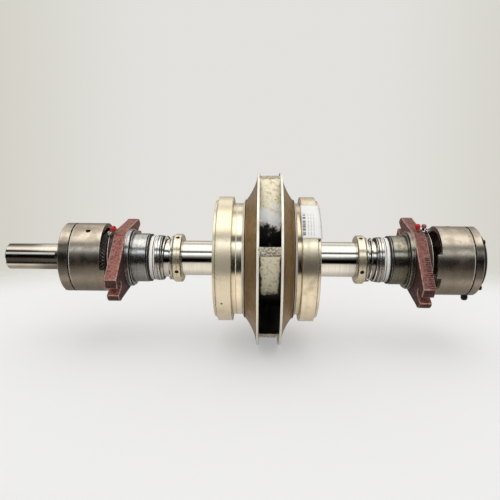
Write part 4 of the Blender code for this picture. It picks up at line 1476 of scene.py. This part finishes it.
def build_gland(name, side, sizes, colours):
    """One casting: machined nose and register, primed flange with two slotted lobes, and a boss in painted
    shade.
    """
    face, back = stations_of(f"gland_{name}")
    inner, outer = FLANGE_FACES
    first, second, third, fourth = (REGISTER_FACE + offset for offset in REGISTER_GROOVE)
    sunk = sizes.register - REGISTER_GROOVE_DEPTH
    line_start, line_end = BOSS_LINE
    bare = [
        (face, GLAND_BORE), (face, sizes.nose - GLAND_CHAMFER), (face + GLAND_CHAMFER, sizes.nose),
        (REGISTER_FACE, sizes.nose), (REGISTER_FACE, sizes.register - GLAND_CHAMFER),
        (REGISTER_FACE + GLAND_CHAMFER, sizes.register), (first, sizes.register), (second, sunk),
        (third, sunk), (fourth, sizes.register)]
    corners = [(*corner, EDGE, BARE) for corner in bare] + [
        (inner, sizes.register, EDGE, PRIMED), (inner + BOSS_STEP, sizes.register, EDGE, PRIMED),
        (inner + BOSS_STEP, sizes.boss, EDGE, IN_SHADOW), (back - line_start, sizes.boss, 0, BARE_EDGE_HIGHLIGHT),
        (back - line_end, sizes.boss, 0, IN_SHADOW), (back, sizes.boss - line_end, EDGE, IN_SHADOW),
        (back, GLAND_BORE, EDGE, BARE)]
    finishes = (primer(colours, name), nose_steel(colours, name), worn_primer(colours),
                primer_in_shadow(colours), bare_edge_and_highlight(), primer_shaded_below(colours))
    gland = piece(f"machined_gland_{name}", revolved(corners, on_shaft(side)), *finishes)
    half = flange_outline(sizes)
    plate = flange_plate(side, GLAND_ANGLES[name], half, finishes)
    if name == "right":
        combined(plate, "DIFFERENCE", [edge_grooves(side, GLAND_ANGLES[name], half)])
    near, far = inner - FLANGE_BORE_OVERRUN, outer + FLANGE_BORE_OVERRUN
    bore = sizes.boss - FLANGE_BORE_INSET
    cutter = revolved([(near, 0), (near, bore), (far, bore), (far, 0)], on_shaft(side), closed=False)
    combined(plate, "DIFFERENCE", [piece("cutter", cutter)])
    combined(gland, "UNION", [plate])
    dress(softened(gland), "root", "primed_iron", f"gland_{name}")


# Fittings on the glands: seats as (station, angle, radius, lean), and profiles from the seat outwards

FITTING_STATION = 0.2761
FITTING_ANGLES = {"left": 58, "right": 79}
FITTING_LEANS = {"left": 25, "right": 0}
FITTING_PROFILE = [
    (0, 0), (0, 0.0030), (0.0030, 0.0030), (0.0030, 0.0044, SOFT_EDGE), (0.0060, 0.0044, SOFT_EDGE),
    (0.0060, 0.0026), (0.0082, 0.0024), (0.0086, 0.0016), (0.0086, 0)]
CAP_SEATS = {"left": (0.2765, 64, 0.0570, -50), "right": (0.2603, 84, 0.0546, 0)}
CAP_PROFILE = [
    (0, 0), (0, 0.0022), (0.0026, 0.0022), (0.0030, 0.0040, SOFT_EDGE), (0.0052, 0.0048, SOFT_EDGE),
    (0.0090, 0.0046, 0.0020), (0.0112, 0.0030, SOFT_EDGE), (0.0106, 0.0020), (0.0086, 0.0016), (0.0086, 0)]
KNOB_SEAT = (0.2695, 84, 0.0541, -12)
KNOB_PROFILE = [
    (0, 0, EDGE, 1), (0, 0.0026, EDGE, 1), (0.0046, 0.0020), (0.0052, 0.0042, SOFT_EDGE),
    (0.0100, 0.0044, 0.0015), (0.0118, 0.0022, SOFT_EDGE), (0.0118, 0)]


def fitted(name, profile, side, seat, finishes, slot, *nodes, sides=PLUG_SIDES):
    """A turned piece standing on a gland, tipped about its seat, in degrees towards the left end."""
    station, angle, radius, lean = seat
    tip = Matrix.Rotation(math.radians(lean), 4, "Z")
    place = standing(side * station, angle) @ Matrix.Translation((radius + GAP, 0, 0)) @ tip
    turned_piece(name, profile, place, finishes, "root", slot, *nodes, closed=False, sides=sides)


def build_fittings(name, side, sizes, colours):
    """A bright banjo fitting on the boss, a red screw cap beside it, and on the right a small knob."""
    seat = (FITTING_STATION, FITTING_ANGLES[name], sizes.boss, FITTING_LEANS[name])
    fitted(f"banjo_fitting_{name}", FITTING_PROFILE, side, seat, [fitting_steel()], "fitting_chrome",
           f"flush_fitting_{name}")
    fitted(f"screw_cap_{name}", CAP_PROFILE, side, CAP_SEATS[name], [red_plastic(colours)], "red_plastic",
           f"port_cap_{name}")
    if name == "right":
        fitted("vent_knob", KNOB_PROFILE, side, KNOB_SEAT, [plum_plastic(), black_steel()],
               "red_plastic", sides=SMALL_SIDES)


# Bearing housings

HOUSING_TURNS = {"left": -32, "right": 0}
HOUSING_RIMS = {"left": 0.289, "right": 0.2913}
TAB_HALF_ANGLE = 20
NOTCH_STEPS = 24
NOTCH_SPREAD = 1.2
NOTCH_OVERRUN = 0.005
SEAM_LINE = 0.0009
SEAM_LINE_DEPTH = 0.0004
SEAM_GROOVE = 0.0018
SEAM_GROOVE_DEPTH = 0.0016
# The web's face and bore
WEB = (0.3035, 0.036)
WEB_FILLET = 0.002
BEARING_SEAT = 0.055
OIL_HOLE_STATION = 0.314
OIL_HOLE_OVERRUN = 0.003
RIB_HUB = [(0.2850, 0.0254), (0.2850, 0.0370), (0.2940, 0.0370), (0.2940, 0.0254)]
RIB_ROWS = ((0.2868, 0.2888), (0.2905, 0.2925))
RIB_SECTION = ((0, 0.0374), (2.4, 0.0374), (4.2, 0.0440), (2.6, 0.0440))
RIB_COPIES = 44
RACES = (("inner", 0.0253, 0.0336, "rotor"), ("outer", 0.0342, BEARING_SEAT - GAP, "root"))
COVER_LIP = 0.048
COVER_FACE = 0.361
COVER_CHAMFER = 0.0015
COVER_FLOOR = 0.0017
COVER_MIDDLE = 0.050
MIDDLE_CHAMFER = 0.002
# Radii of the dish's edge and floor, and its depth
MIDDLE_DISH = (0.0400, 0.0395, 0.0006)
# The lip seal's well: depth, radius and the radius of the opening
SEAL_WELL = (0.008, 0.0333, 0.027)
WELL_CHAMFER = 0.0008
LIP_RADII = (0.0250, 0.033)
# Depth below the cover's face and radius, down the rubber lip towards the shaft
LIP_CORNERS = ((GAP, 0.0285), (0.0035, 0.0268), (0.0020, 0.0240), (0.0040, 0.0240))
SCREW_CIRCLE = 0.0555
SCREW_START = 45
HEAD_HEIGHT = 0.0045
HEAD_EDGE = 0.0006
SOCKET_DEPTH = 0.0025
# Radius of a screw's socket, as shares of its head, at the top and the bottom
SOCKET_SHARES = (0.5, 0.48)
PLUG_STATION = 0.3525
PLUG_PROFILE = [(0, 0), (0, 0.0052), (0.0026, 0.0060, SOFT_EDGE), (0.0070, 0.0060, SOFT_EDGE),
                (0.0104, 0.0044, 0.0015), (0.0104, 0)]


def notch(side, start, sweep, radius, near, far):
    """A cutter shaped like a slice of pie, for the open sides of a housing's rim."""
    loop = [Vector((MIDDLE + side * near, 0, 0))]
    for index in range(NOTCH_STEPS + 1):
        loop.append(spot(side * near, start + sweep * index / NOTCH_STEPS, radius))
    return piece("cutter", prism(loop, Vector((side * (far - near), 0, 0))))


def build_housing(name, side, sizes, colours):
    """A round housing with a tab on two sides, an open recess and an oil hole."""
    tab, end = stations_of(f"bearing_housing_{name}")
    web_face, web_bore = WEB
    shoulder = stations_of(f"bearing_outer_{name}")[0] - GAP
    turn = HOUSING_TURNS[name]
    # edge is bare metal painted bright as highlight along the seam and on the bevels
    dark, edge = 1, 2
    corners = [
        (tab, sizes.recess), (tab, sizes.radius), (end - SEAM_LINE, sizes.radius, EDGE, edge),
        (end, sizes.radius - SEAM_LINE_DEPTH, EDGE, dark), (end, BEARING_SEAT), (shoulder, BEARING_SEAT),
        (shoulder, web_bore), (web_face, web_bore, SOFT_EDGE, dark),
        (web_face, sizes.recess, WEB_FILLET, dark)]
    housing = piece(f"round_housing_{name}", revolved(corners, on_shaft(side)), housing_steel(colours),
                    recess_paint(colours), bare_edge_and_highlight())
    cutters = [notch(side, turn + TAB_HALF_ANGLE + half, 180 - 2 * TAB_HALF_ANGLE,
                     sizes.radius * NOTCH_SPREAD, tab - NOTCH_OVERRUN, HOUSING_RIMS[name])
               for half in (0, 180)]
    cutters.append(peg(side * OIL_HOLE_STATION, turn + 90, BEARING_SEAT - OIL_HOLE_OVERRUN,
                       sizes.radius + OIL_HOLE_OVERRUN, sizes.hole))
    combined(housing, "DIFFERENCE", cutters)
    dress(softened(housing, CAST_BEVEL, edge), "root", "housing_steel", f"bearing_housing_{name}")


def build_ribs(colours):
    """Two rows of short ribs round the shaft, seen in the left housing's recess."""
    turned_piece("rib_hub", RIB_HUB, on_shaft(-1), [recess_paint(colours)], "rotor", "black_rubber")
    for row, (start, end) in enumerate(RIB_ROWS):
        loop = [spot(-start, angle, radius) for angle, radius in RIB_SECTION]
        ribs = piece(f"recess_ribs_{row}", prism(loop, Vector((start - end, 0, 0))))
        grow(ribs, "Copies around shaft", copies=RIB_COPIES, start=row * math.pi / RIB_COPIES,
             material=rib_metal())
        dress(ribs, "rotor", "seal_steel")


def build_bearing(name, side, colours):
    """The bearing's inner and outer rings."""
    start, end = stations_of(f"bearing_outer_{name}")
    for race, inner, outer, body in RACES:
        corners = [(start, inner, SOFT_EDGE), (start, outer, SOFT_EDGE), (end, outer, SOFT_EDGE),
                   (end, inner, SOFT_EDGE)]
        turned_piece(f"bearing_race_{race}_{name}", corners, on_shaft(side), [satin_steel(colours)], body,
                     "seal_steel", f"bearing_{race}_{name}")


def cover_screws(name, side, sizes):
    """Socket-head screws set round the cover's outer face."""
    head, face, top = sizes.screw, COVER_FACE, COVER_FACE + HEAD_HEIGHT
    wide, narrow = (head * share for share in SOCKET_SHARES)
    corners = [(face, 0), (face, head), (top - HEAD_EDGE, head), (top, head - HEAD_EDGE), (top, wide),
               (top - SOCKET_DEPTH, narrow), (top - SOCKET_DEPTH, 0)]
    place = Matrix.Translation(direction(SCREW_START)[0] * SCREW_CIRCLE) @ on_shaft(side)
    screws = piece(f"cover_screws_{name}", revolved(corners, place, closed=False, sides=PLUG_SIDES))
    grow(screws, "Copies around shaft", copies=sizes.screws,
         start=math.radians(-HOUSING_TURNS[name]), material=black_steel())
    dress(screws, "root", "housing_steel")


def build_lip_seal(side, colours):
    """The rubber seal round the shaft, in the open cover."""
    top = COVER_FACE - SEAL_WELL[0] + GAP
    inner, outer = LIP_RADII
    corners = [(top, inner), (top, outer, EDGE), (COVER_FACE - GAP, outer, EDGE)]
    corners += [(COVER_FACE - depth, radius, SOFT_EDGE) for depth, radius in LIP_CORNERS]
    turned_piece("lip_seal", corners, on_shaft(side), [rubber(colours)], "root", "black_rubber",
                 "shaft_lip_seal")


def build_cover(name, side, sizes, colours):
    """An end cover, closed on the right, where its black middle stands out, and open round the shaft on
    the left, with its screws and the plug below it."""
    spigot, end = stations_of(f"end_cover_{name}")
    face, radius = COVER_FACE, sizes.radius
    seam = stations_of(f"bearing_housing_{name}")[1] + GAP
    floor = seam + COVER_FLOOR
    sunk = radius - SEAM_GROOVE_DEPTH
    rim = [(spigot, COVER_LIP), (spigot, BEARING_SEAT - GAP), (seam, BEARING_SEAT - GAP),
           (seam, sunk, EDGE, 2), (seam + SEAM_GROOVE, sunk, EDGE, 2), (seam + SEAM_GROOVE, radius),
           (face - COVER_CHAMFER, radius), (face, radius - COVER_CHAMFER)]
    closed = name == "right"
    if closed:
        dish_edge, dish, dish_depth = MIDDLE_DISH
        middle = [(face, COVER_MIDDLE), (end - MIDDLE_CHAMFER, COVER_MIDDLE),
                  (end, COVER_MIDDLE - MIDDLE_CHAMFER), (end, dish_edge), (end - dish_depth, dish)]
        corners = [(floor, 0), (floor, COVER_LIP)] + rim
        corners += [(*corner, EDGE, 1) for corner in middle] + [(end - dish_depth, 0)]
    else:
        well_depth, well, opening = SEAL_WELL
        step = face - well_depth
        corners = [(floor, COVER_LIP)] + rim
        corners += [(face, well + WELL_CHAMFER), (face - WELL_CHAMFER, well), (step, well),
                    (step, opening), (floor, opening)]
        build_lip_seal(side, colours)
    turned_piece(f"round_cover_{name}", corners, on_shaft(side),
                 [cover_steel(colours), black_steel(), rubber(colours)], "root", "housing_steel",
                 f"end_cover_{name}", closed=not closed)
    cover_screws(name, side, sizes)
    place = standing(side * PLUG_STATION, HOUSING_TURNS[name] - 90)
    place = place @ Matrix.Translation((radius + GAP, 0, 0))
    turned_piece(f"oil_plug_{name}", PLUG_PROFILE, place, [black_steel()], "root", "housing_steel",
                 f"drain_plug_{name}", closed=False, sides=PLUG_SIDES)


# Studio: the camera, as fitted to the photograph, then the floor and the surroundings

SENSOR_WIDTH = 36
CAMERA_OFFSET = -0.0134
CAMERA_HEIGHT_ANGLE = 10.75
CAMERA_TURN = 1.19
CAMERA_TILT = 0.88
CAMERA_ROLL = -0.61
FLOOR_SIZE = 4.0
FLOOR_REACH = (1.3, 0.86)
FLOOR_FADE = (0.55, 1.0)
FLOOR_SPOTS = 300.0
FLOOR_STRENGTHS = (0.2, 0.8, 0.0, 0.12)
FLOOR_STAIN = (0.42, 0.42, 0.42)
FLOOR_GLOW = 0.38
FAR_GLOW_TONE = (0.92, 0.92, 0.90)
WHITE = (1, 1, 1)
# Elevation from the near side, brightness in the middle, at the sides and at the ends, and tint
WORLD_TONES = (
    (-180, 0.36, 0.28, 0.60, "floor"), (-110, 0.65, 0.19, 0.50, "floor"), (-88, 0.85, 0.21, 0.55, "floor"),
    (-75, 1.05, 0.24, 1.10, "floor"), (-60, 1.10, 0.21, 0.90, "floor"), (-50, 1.10, 0.19, 0.05, "floor"),
    (-32, 1.00, 0.15, 0.10, "floor"), (-24, 0.85, 0.05, 0.15, "floor"), (-16, 0.0, 0.0, 0.10, "brown"),
    (4, 0.0, 0.0, 0.0, "brown"), (14, 0.12, 0.01, 0.0, "plain"), (25, 0.70, 0.02, 0.0, "plain"),
    (32, 1.6, 1.3, 0.9, "cool"), (38, 2.0, 1.5, 1.2, "cool"), (42, 1.6, 1.4, 1.2, "cool"),
    (45, 0.12, 0.45, 0.6, "cool"), (49, 0.12, 0.10, 0.0, "cool"), (55, 0.20, 0.10, 0.0, "cool"),
    (60, 1.3, 1.1, 0.0, "warm"), (66, 1.7, 1.7, 0.0, "warm"), (73, 1.9, 2.0, 1.5, "warm"),
    (92, 1.8, 2.0, 1.5, "warm"), (100, 1.6, 1.9, 0.9, "warm"), (108, 1.1, 1.25, 0.6, "warm"),
    (118, 0.5, 1.2, 0.30, "warm"), (126, 1.0, 1.1, 0.12, "warm"), (138, 1.1, 1.0, 0.10, "warm"),
    (152, 0.55, 0.42, 0.30, "floor"), (180, 0.36, 0.28, 0.60, "floor"))
WORLD_TINTS = {"plain": WHITE, "floor": (1, 0.93, 0.85), "cool": (0.92, 0.98, 1.0),
               "warm": (1, 0.98, 0.92), "brown": (1, 0.7, 0.5)}
# A ramp's colour stops at 1, so the tones are stored at a share of their strength
RAMP_SHARE = 0.5
# How far sideways each column of tones takes over
SIDE_REACH = (0.14, 0.20)
END_REACH = (0.365, 0.385)
BEYOND_REACH = (0.60, 0.9)
BEYOND_TONE = (0.2, 0.2, 0.2)
SOFT_LIGHT = ((0.10, 0.10, 0.10), (1.65, 1.64, 1.60))
SOFT_HEIGHTS = (-0.85, 0.30)
SOFT_SIDEWAYS = (0.30, 0.75, 0.0, 0.90)
BACKDROP = ((0.765, 0.755, 0.725), (0.65, 0.635, 0.565))
BACKDROP_SPREAD = (0.15, 0.55)


def tone_ramp(tree, share, column):
    """The brightness of the surroundings by elevation, from one column of the tones."""
    ramp = tree.nodes.new("ShaderNodeValToRGB")
    tree.links.new(share, ramp.inputs[0])
    stops = ramp.color_ramp.elements
    for index, row in enumerate(WORLD_TONES):
        place = (row[0] + 180) / 360
        stop = stops[index] if index < 2 else stops.new(place)
        stop.position = place
        stop.color = (*share_of(WORLD_TINTS[row[-1]], row[column] * RAMP_SHARE), 1)
    return ramp.outputs[0]


def build_world(studio):
    """Bright overhead and behind and dark on the near side for reflections, an even soft light for matt
    surfaces, and a plain pale tone for the camera itself."""
    world = bpy.data.worlds.new("Studio")
    bpy.context.scene.world = world
    world.use_nodes = True
    tree = world.node_tree
    tree.nodes.clear()
    along, back, up = parts_of(tree, tree.nodes.new("ShaderNodeTexCoord").outputs["Generated"])
    height = calc(tree, "ARCTAN2", up, calc(tree, "MULTIPLY", back, -1.0))
    share = calc(tree, "MULTIPLY_ADD", height, 1 / (2 * math.pi), 0.5)
    middle, sides, ends = (tone_ramp(tree, share, column) for column in (1, 2, 3))
    sideways = calc(tree, "ABSOLUTE", along)
    tone = blend(tree, ease(tree, sideways, *SIDE_REACH), middle, sides)
    tone = blend(tree, ease(tree, sideways, *END_REACH), tone, ends)
    tone = blend(tree, ease(tree, sideways, *BEYOND_REACH), tone, BEYOND_TONE)
    mirrored = add(tree, "ShaderNodeBackground", tone, studio.brightness / RAMP_SHARE)
    soft_tone = blend(tree, ease(tree, up, *SOFT_HEIGHTS), *SOFT_LIGHT)
    soft_tone = blend(tree, ease(tree, sideways, *SOFT_SIDEWAYS), soft_tone, (0, 0, 0))
    soft = add(tree, "ShaderNodeBackground", soft_tone, studio.brightness)
    light_path = tree.nodes.new("ShaderNodeLightPath").outputs
    lit = add(tree, "ShaderNodeMixShader", light_path["Is Diffuse Ray"], mirrored, soft)
    spread = calc(tree, "DIVIDE", sideways, calc(tree, "ABSOLUTE", back))
    backdrop = blend(tree, ease(tree, spread, *BACKDROP_SPREAD), *BACKDROP)
    seen = add(tree, "ShaderNodeBackground", backdrop, 1.0)
    choice = add(tree, "ShaderNodeMixShader", light_path["Is Camera Ray"], lit, seen)
    output = tree.nodes.new("ShaderNodeOutputWorld")
    tree.links.new(choice, output.inputs[0])


def build_floor(colours):
    """A pale floor that melts into the backdrop and shows to the camera alone."""
    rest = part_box("impeller_shroud_left")[0].z - GAP
    shape = bmesh.new()
    bmesh.ops.create_grid(shape, x_segments=1, y_segments=1, size=FLOOR_SIZE / 2,
                          matrix=Matrix.Translation((MIDDLE, 0, rest)))
    material, tree = new_material("Studio floor")
    tree.nodes.clear()
    place, along, across, _ = object_place(tree)
    reaches = []
    for part, reach in zip((calc(tree, "SUBTRACT", along, MIDDLE), across), FLOOR_REACH):
        reaches.append(calc(tree, "POWER", calc(tree, "DIVIDE", part, reach), 2.0))
    fade = ease(tree, calc(tree, "SQRT", calc(tree, "ADD", *reaches)), *FLOOR_FADE)
    grain = ease(tree, noise(tree, place, FLOOR_SPOTS, 2.0), *FLOOR_STRENGTHS)
    matt = add(tree, "ShaderNodeBsdfDiffuse", blend(tree, grain, colours.floor, FLOOR_STAIN))
    glow = add(tree, "ShaderNodeEmission", blend(tree, fade, WHITE, FAR_GLOW_TONE), FLOOR_GLOW)
    bright = add(tree, "ShaderNodeAddShader", matt, glow)
    clear = add(tree, "ShaderNodeBsdfTransparent", (*WHITE, 1))
    unseen = opposite(tree, tree.nodes.new("ShaderNodeLightPath").outputs["Is Camera Ray"])
    mixed = add(tree, "ShaderNodeMixShader", calc(tree, "MAXIMUM", fade, unseen), bright, clear)
    output = tree.nodes.new("ShaderNodeOutputMaterial")
    tree.links.new(mixed, output.inputs[0])
    piece("studio_floor", shape, material)


def build_camera(studio):
    """The camera looks down a little, from nearly square on."""
    tilt, turn = math.radians(CAMERA_TILT), math.radians(CAMERA_TURN)
    roll, height = math.radians(CAMERA_ROLL), math.radians(CAMERA_HEIGHT_ANGLE)
    level = Vector((-math.sin(turn), math.cos(turn), 0))
    right = Vector((math.cos(turn), math.sin(turn), 0))
    forward = level * math.cos(tilt) + Vector((0, 0, math.sin(tilt)))
    up = Vector((0, 0, math.cos(tilt))) - level * math.sin(tilt)
    columns = (right * math.cos(roll) - up * math.sin(roll),
               right * math.sin(roll) + up * math.cos(roll), -forward)
    facing = Matrix(columns).transposed().to_4x4()
    raised = Matrix.Rotation(-height, 4, "X")
    data = bpy.data.cameras.new("Studio camera")
    data.lens = studio.lens
    data.sensor_width = SENSOR_WIDTH
    camera = bpy.data.objects.new("Studio camera", data)
    bpy.context.scene.collection.objects.link(camera)
    place = Matrix.Translation((MIDDLE + CAMERA_OFFSET, 0, 0))
    camera.matrix_world = place @ raised @ Matrix.Translation((0, -studio.distance, 0)) @ facing
    bpy.context.scene.camera = camera


class BuildOperator:
    """What the operators share."""
    bl_options = {"REGISTER", "UNDO"}

    def settings(self, context):
        return context.scene.pump_rotor


class PUMP_OT_finishes(BuildOperator, bpy.types.Operator):
    """Build the shader groups and geometry trees that the pieces use"""
    bl_idname = "pump.build_finishes"
    bl_label = "Finishes"

    def execute(self, context):
        for build in (build_turning_marks, build_mottle, build_edge_wear, build_crevice_dirt,
                      build_passage_sand_and_shade, build_dark_band, build_copies_tree, build_vane_tree,
                      build_spring_tree):
            build()
        return {"FINISHED"}


class PUMP_OT_shaft(BuildOperator, bpy.types.Operator):
    """Build the keyed shaft and its two sleeves"""
    bl_idname = "pump.build_shaft"
    bl_label = "Shaft"

    def execute(self, context):
        settings = self.settings(context)
        build_shaft(settings.shaft, settings.colours)
        for name, side in SIDES.items():
            build_sleeve(name, side, settings.shaft, settings.colours)
        return {"FINISHED"}


class PUMP_OT_impeller(BuildOperator, bpy.types.Operator):
    """Build the impeller's hub, shrouds and vanes"""
    bl_idname = "pump.build_impeller"
    bl_label = "Impeller"

    def execute(self, context):
        settings = self.settings(context)
        build_impeller(settings.impeller, settings.colours)
        return {"FINISHED"}


class PUMP_OT_rings(BuildOperator, bpy.types.Operator):
    """Build the two casing wear rings and the label on one of them"""
    bl_idname = "pump.build_rings"
    bl_label = "Wear Rings"

    def execute(self, context):
        settings = self.settings(context)
        for name, side in SIDES.items():
            build_wear_ring(name, side, settings.ring, settings.impeller.neck, settings.colours)
        build_label(settings.ring)
        return {"FINISHED"}


class PUMP_OT_seals(BuildOperator, bpy.types.Operator):
    """Build the drive collars and both halves of the mechanical seals"""
    bl_idname = "pump.build_seals"
    bl_label = "Seals"

    def execute(self, context):
        settings = self.settings(context)
        bore = settings.shaft.sleeve + GAP
        for name, side in SIDES.items():
            build_collar(name, side, settings.seal, bore, settings.colours)
            build_turning_seal(name, side, settings.seal, bore, settings.colours)
            build_still_seal(name, side, settings.seal, settings.gland.nose, settings.colours)
        return {"FINISHED"}


class PUMP_OT_glands(BuildOperator, bpy.types.Operator):
    """Build the two-lobed glands with their fittings, caps and knob"""
    bl_idname = "pump.build_glands"
    bl_label = "Glands"

    def execute(self, context):
        settings = self.settings(context)
        for name, side in SIDES.items():
            build_gland(name, side, settings.gland, settings.colours)
            build_fittings(name, side, settings.gland, settings.colours)
        return {"FINISHED"}


class PUMP_OT_housings(BuildOperator, bpy.types.Operator):
    """Build the bearing housings, bearings, covers, screws and plugs, and the ribs in the left recess"""
    bl_idname = "pump.build_housings"
    bl_label = "Bearing Housings"

    def execute(self, context):
        settings = self.settings(context)
        for name, side in SIDES.items():
            build_housing(name, side, settings.housing, settings.colours)
            build_bearing(name, side, settings.colours)
            build_cover(name, side, settings.housing, settings.colours)
        build_ribs(settings.colours)
        return {"FINISHED"}


class PUMP_OT_studio(BuildOperator, bpy.types.Operator):
    """Build the floor, the soft light and the camera"""
    bl_idname = "pump.build_studio"
    bl_label = "Studio"

    def execute(self, context):
        settings = self.settings(context)
        build_world(settings.studio)
        build_floor(settings.colours)
        build_camera(settings.studio)
        context.scene.view_settings.view_transform = "Standard"
        return {"FINISHED"}


class PUMP_PT_rotor(bpy.types.Panel):
    """Lists the rotor's pieces"""
    bl_label = "Pump Rotor"
    bl_idname = "PUMP_PT_rotor"
    bl_space_type = "VIEW_3D"
    bl_region_type = "UI"
    bl_category = "Pump Rotor"

    def draw(self, context):
        settings = context.scene.pump_rotor
        for operator in OPERATORS:
            self.layout.operator(operator.bl_idname)
        for name in ("shaft", "impeller", "ring", "seal", "gland", "housing", "colours", "studio"):
            box = self.layout.box()
            box.label(text=name.title())
            values = getattr(settings, name)
            for key in values.__annotations__:
                box.prop(values, key)


SIZE_GROUPS = (ShaftSizes, ImpellerSizes, RingSizes, SealSizes, GlandSizes, HousingSizes, FinishColours,
               StudioSettings, PumpRotorSettings)
OPERATORS = (PUMP_OT_finishes, PUMP_OT_shaft, PUMP_OT_impeller, PUMP_OT_rings, PUMP_OT_seals,
             PUMP_OT_glands, PUMP_OT_housings, PUMP_OT_studio)
CLASSES = SIZE_GROUPS + OPERATORS + (PUMP_PT_rotor,)


def register():
    for item in CLASSES:
        bpy.utils.register_class(item)
    bpy.types.Scene.pump_rotor = PointerProperty(type=PumpRotorSettings)


def unregister():
    del bpy.types.Scene.pump_rotor
    for item in reversed(CLASSES):
        bpy.utils.unregister_class(item)


def main():
    """Builds everything in order."""
    register()
    bpy.ops.pump.build_finishes()
    bpy.ops.pump.build_shaft()
    bpy.ops.pump.build_impeller()
    bpy.ops.pump.build_rings()
    bpy.ops.pump.build_seals()
    bpy.ops.pump.build_glands()
    bpy.ops.pump.build_housings()
    bpy.ops.pump.build_studio()


if __name__ == "__main__":
    main()
